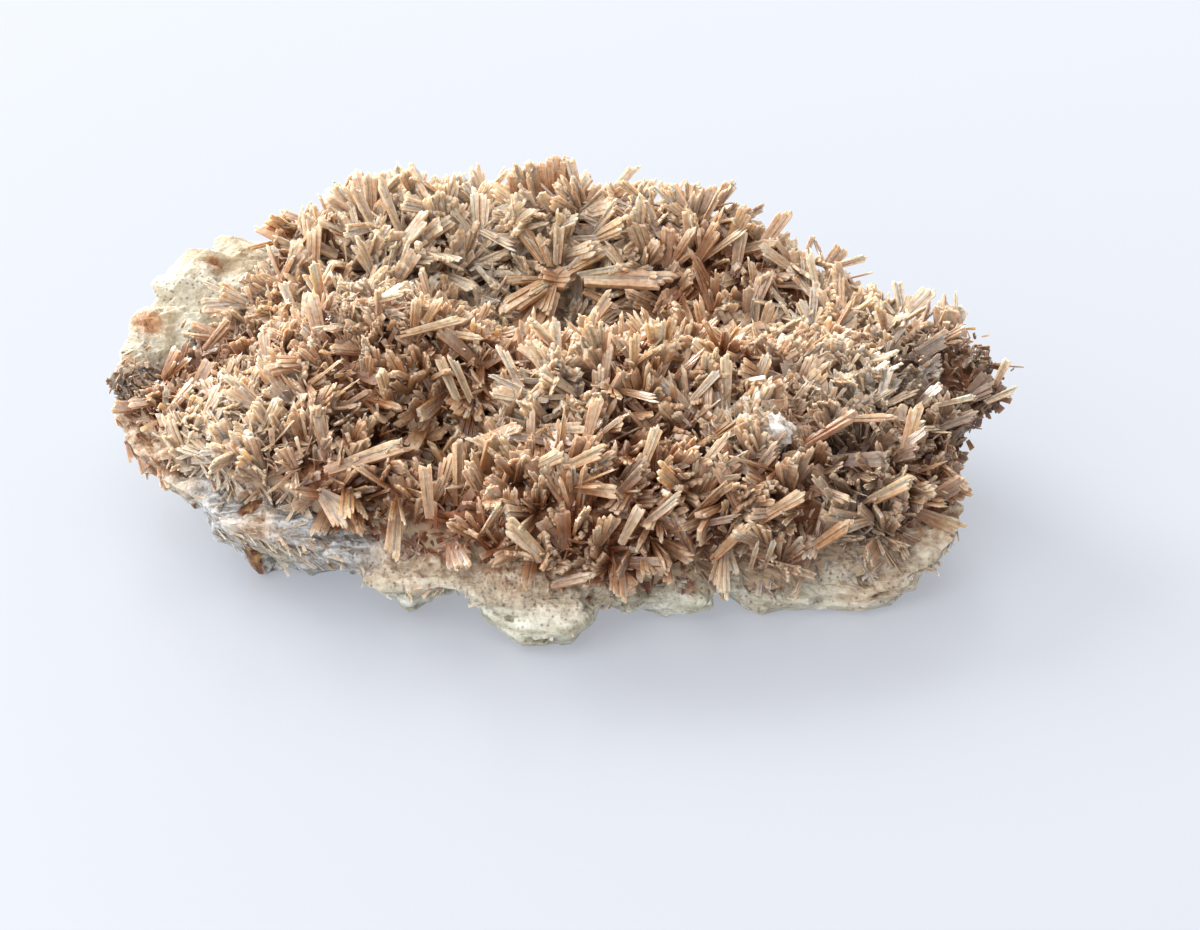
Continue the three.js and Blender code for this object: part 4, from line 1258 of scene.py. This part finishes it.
quartz_shapes = bpy.data.collections.new("quartz_shapes")
for number, shoulder in enumerate((0.45, 0.6, 0.7)):
    sides = range(QUARTZ_SIDES)
    ring = [(math.cos(k * math.pi / 3) / 2, math.sin(k * math.pi / 3) / 2) for k in sides]
    points = [(x, y, 0) for x, y in ring] + [(x, y, shoulder) for x, y in ring] + [(0, 0, 1)]
    faces = [tuple(reversed(sides))]
    for k in sides:
        low, low_next = k, (k + 1) % QUARTZ_SIDES
        high, high_next = QUARTZ_SIDES + low, QUARTZ_SIDES + low_next
        faces += [(low, low_next, high_next, high), (high, high_next, 2 * QUARTZ_SIDES)]
    mesh = bpy.data.meshes.new(f"quartz_{number}")
    mesh.from_pydata(points, [], faces)
    keep(mesh, "lath", points, "FLOAT_VECTOR")
    cells = [(0.5 + x * 0.9, 0.5 + y * 0.9 + z * 0.02, 0) for x, y, z in points]
    keep(mesh, "cell_place", cells, "FLOAT_VECTOR")
    keep(mesh, "strand", np.zeros(len(points)))
    quartz_shapes.objects.link(bpy.data.objects.new(f"quartz_{number}", mesh))

quartz_material, tree, shader = new_material("milky quartz")
# Milky quartz is white because of tiny fluid bubbles: it scatters light deep inside and
# glints from its small clean faces.
place = add(tree, "ShaderNodeTexCoord").node.outputs["Object"]
sugar = add(tree, "ShaderNodeTexNoise", {"Vector": place, "Scale": 2.6 / MM, "Detail": 4.0})
quartz_colour = add(
    tree, "ShaderNodeValToRGB", {"Fac": sugar},
    [(0.3, "#A89A88"), (0.46, "#D2CABE"), (0.6, "#EDEAE4")],
)
quartz_normal = add(tree, "ShaderNodeBump", {"Strength": 0.5, "Distance": 0.08 * MM, "Height": sugar})
wire(tree, shader, {"Base Color": quartz_colour, "Roughness": 0.3, "Normal": quartz_normal})
wire(tree, shader, {"IOR": 1.544, "Subsurface Weight": 0.5, "Subsurface Scale": 0.7 * MM})
wire(tree, shader, {"Subsurface Radius": (1.0, 0.98, 0.95)})

turns = np.arange(24) / 24 * 2 * np.pi
falls = np.arange(15) / 14 * np.pi
knob_rows = np.array(
    [
        [[math.sin(f) * math.cos(t), math.sin(f) * math.sin(t), math.cos(f)] for t in turns]
        for f in falls
    ]
)
quartz_core = lofted_mesh("quartz_core", QUARTZ_MIDDLE + knob_rows * QUARTZ_SIZE * QUARTZ_CORE)
core_points, core_normals = mesh_arrays(quartz_core)
lumps = np.array([noise.fractal(Vector(p) * 1.6, 0.8, 2.0, 3) for p in core_points])
place_points(quartz_core, core_points + core_normals * (QUARTZ_LUMPS * lumps)[:, None])
keep(quartz_core, "zone", np.zeros(len(quartz_core.polygons), dtype=int), "INT", "FACE")
keep(quartz_core, "everywhere", np.ones(len(core_points)))
keep(quartz_core, "cover", np.ones(len(core_points)))
keep(quartz_core, "reach", np.full(len(core_points), 0.62 * MM))
quartz_layer = ["everywhere", 0.3, 1, -0.25, 0.5, 1.0, 0.1, 1.6, 0.25, 0.5, math.tau]
quartz_layer += [0, 2, 0.0, NO_GRAIN, 0.0, 8]
quartz = {"Bundles": quartz_shapes, "Material": quartz_material}
quartz_grains = grown_mesh("quartz_grains", quartz_core, [quartz_layer], 0, **quartz)
show(quartz_grains, "quartz_grains", None, "quartz_knob")
show(quartz_core, "quartz_core", quartz_material, "quartz_knob")


# ---- Floor and light ----
# A pale table in soft daylight: a window low behind on the left, which throws the shadow
# forward and to the right, with a wide sky light overhead and a bright wall and room round it.
FLOOR_HALF = 3.0
FLOOR_GAP = 0.02 * MM  # keeps the table's face clear of the rock's sole
floor_mesh = bpy.data.meshes.new("floor")
corners = [(-1, -1), (1, -1), (1, 1), (-1, 1)]
floor_points = [(x * FLOOR_HALF, y * FLOOR_HALF, -FLOOR_GAP) for x, y in corners]
floor_mesh.from_pydata(floor_points, [], [(0, 1, 2, 3)])
floor_material, tree, shader = new_material("white translucent sheet")
# A white translucent sheet: light that has got into it comes up again everywhere, so it
# glows a little even in the shade, and its satin face mirrors what stands on it faintly.
wire(tree, shader, {"Base Color": linear("#7A7D82"), "Roughness": 0.28})
wire(tree, shader, {"Emission Color": linear("#EEF2FC"), "Emission Strength": 0.385})
floor_mesh.materials.append(floor_material)
floor = bpy.data.objects.new("floor", floor_mesh)
bpy.context.scene.collection.objects.link(floor)

# [name, place, what it points at, width and height in metres, watts].
LIGHTS = [
    ("sky", (-0.4, 0.1, 0.9), (0, 0, 0), (2.0, 2.0), 21.0),
    ("window", (-1.35, 1.4, 1.05), (0, 0, 0), (1.1, 0.8), 70.0),
    ("back_wall", (0.0, 1.6, 0.75), (0, 0, 0.1), (2.6, 1.2), 6.0),
    ("room", (-0.8, -1.2, 0.7), (0, 0, 0), (1.6, 1.2), 15.0),
]
for name, stands, aim, (wide, high), power in LIGHTS:
    data = bpy.data.lights.new(name, "AREA")
    data.shape = "RECTANGLE"
    data.size = wide
    data.size_y = high
    data.energy = power
    light = bpy.data.objects.new(name, data)
    light.location = stands
    light.rotation_euler = (Vector(aim) - Vector(stands)).to_track_quat("-Z", "Y").to_euler()
    bpy.context.scene.collection.objects.link(light)
room = bpy.data.worlds.new("room")
room.use_nodes = True
room.node_tree.nodes["Background"].inputs["Color"].default_value = linear("#F2F5FA")
room.node_tree.nodes["Background"].inputs["Strength"].default_value = 0.6
bpy.context.scene.world = room
bpy.context.scene.view_settings.view_transform = "Standard"
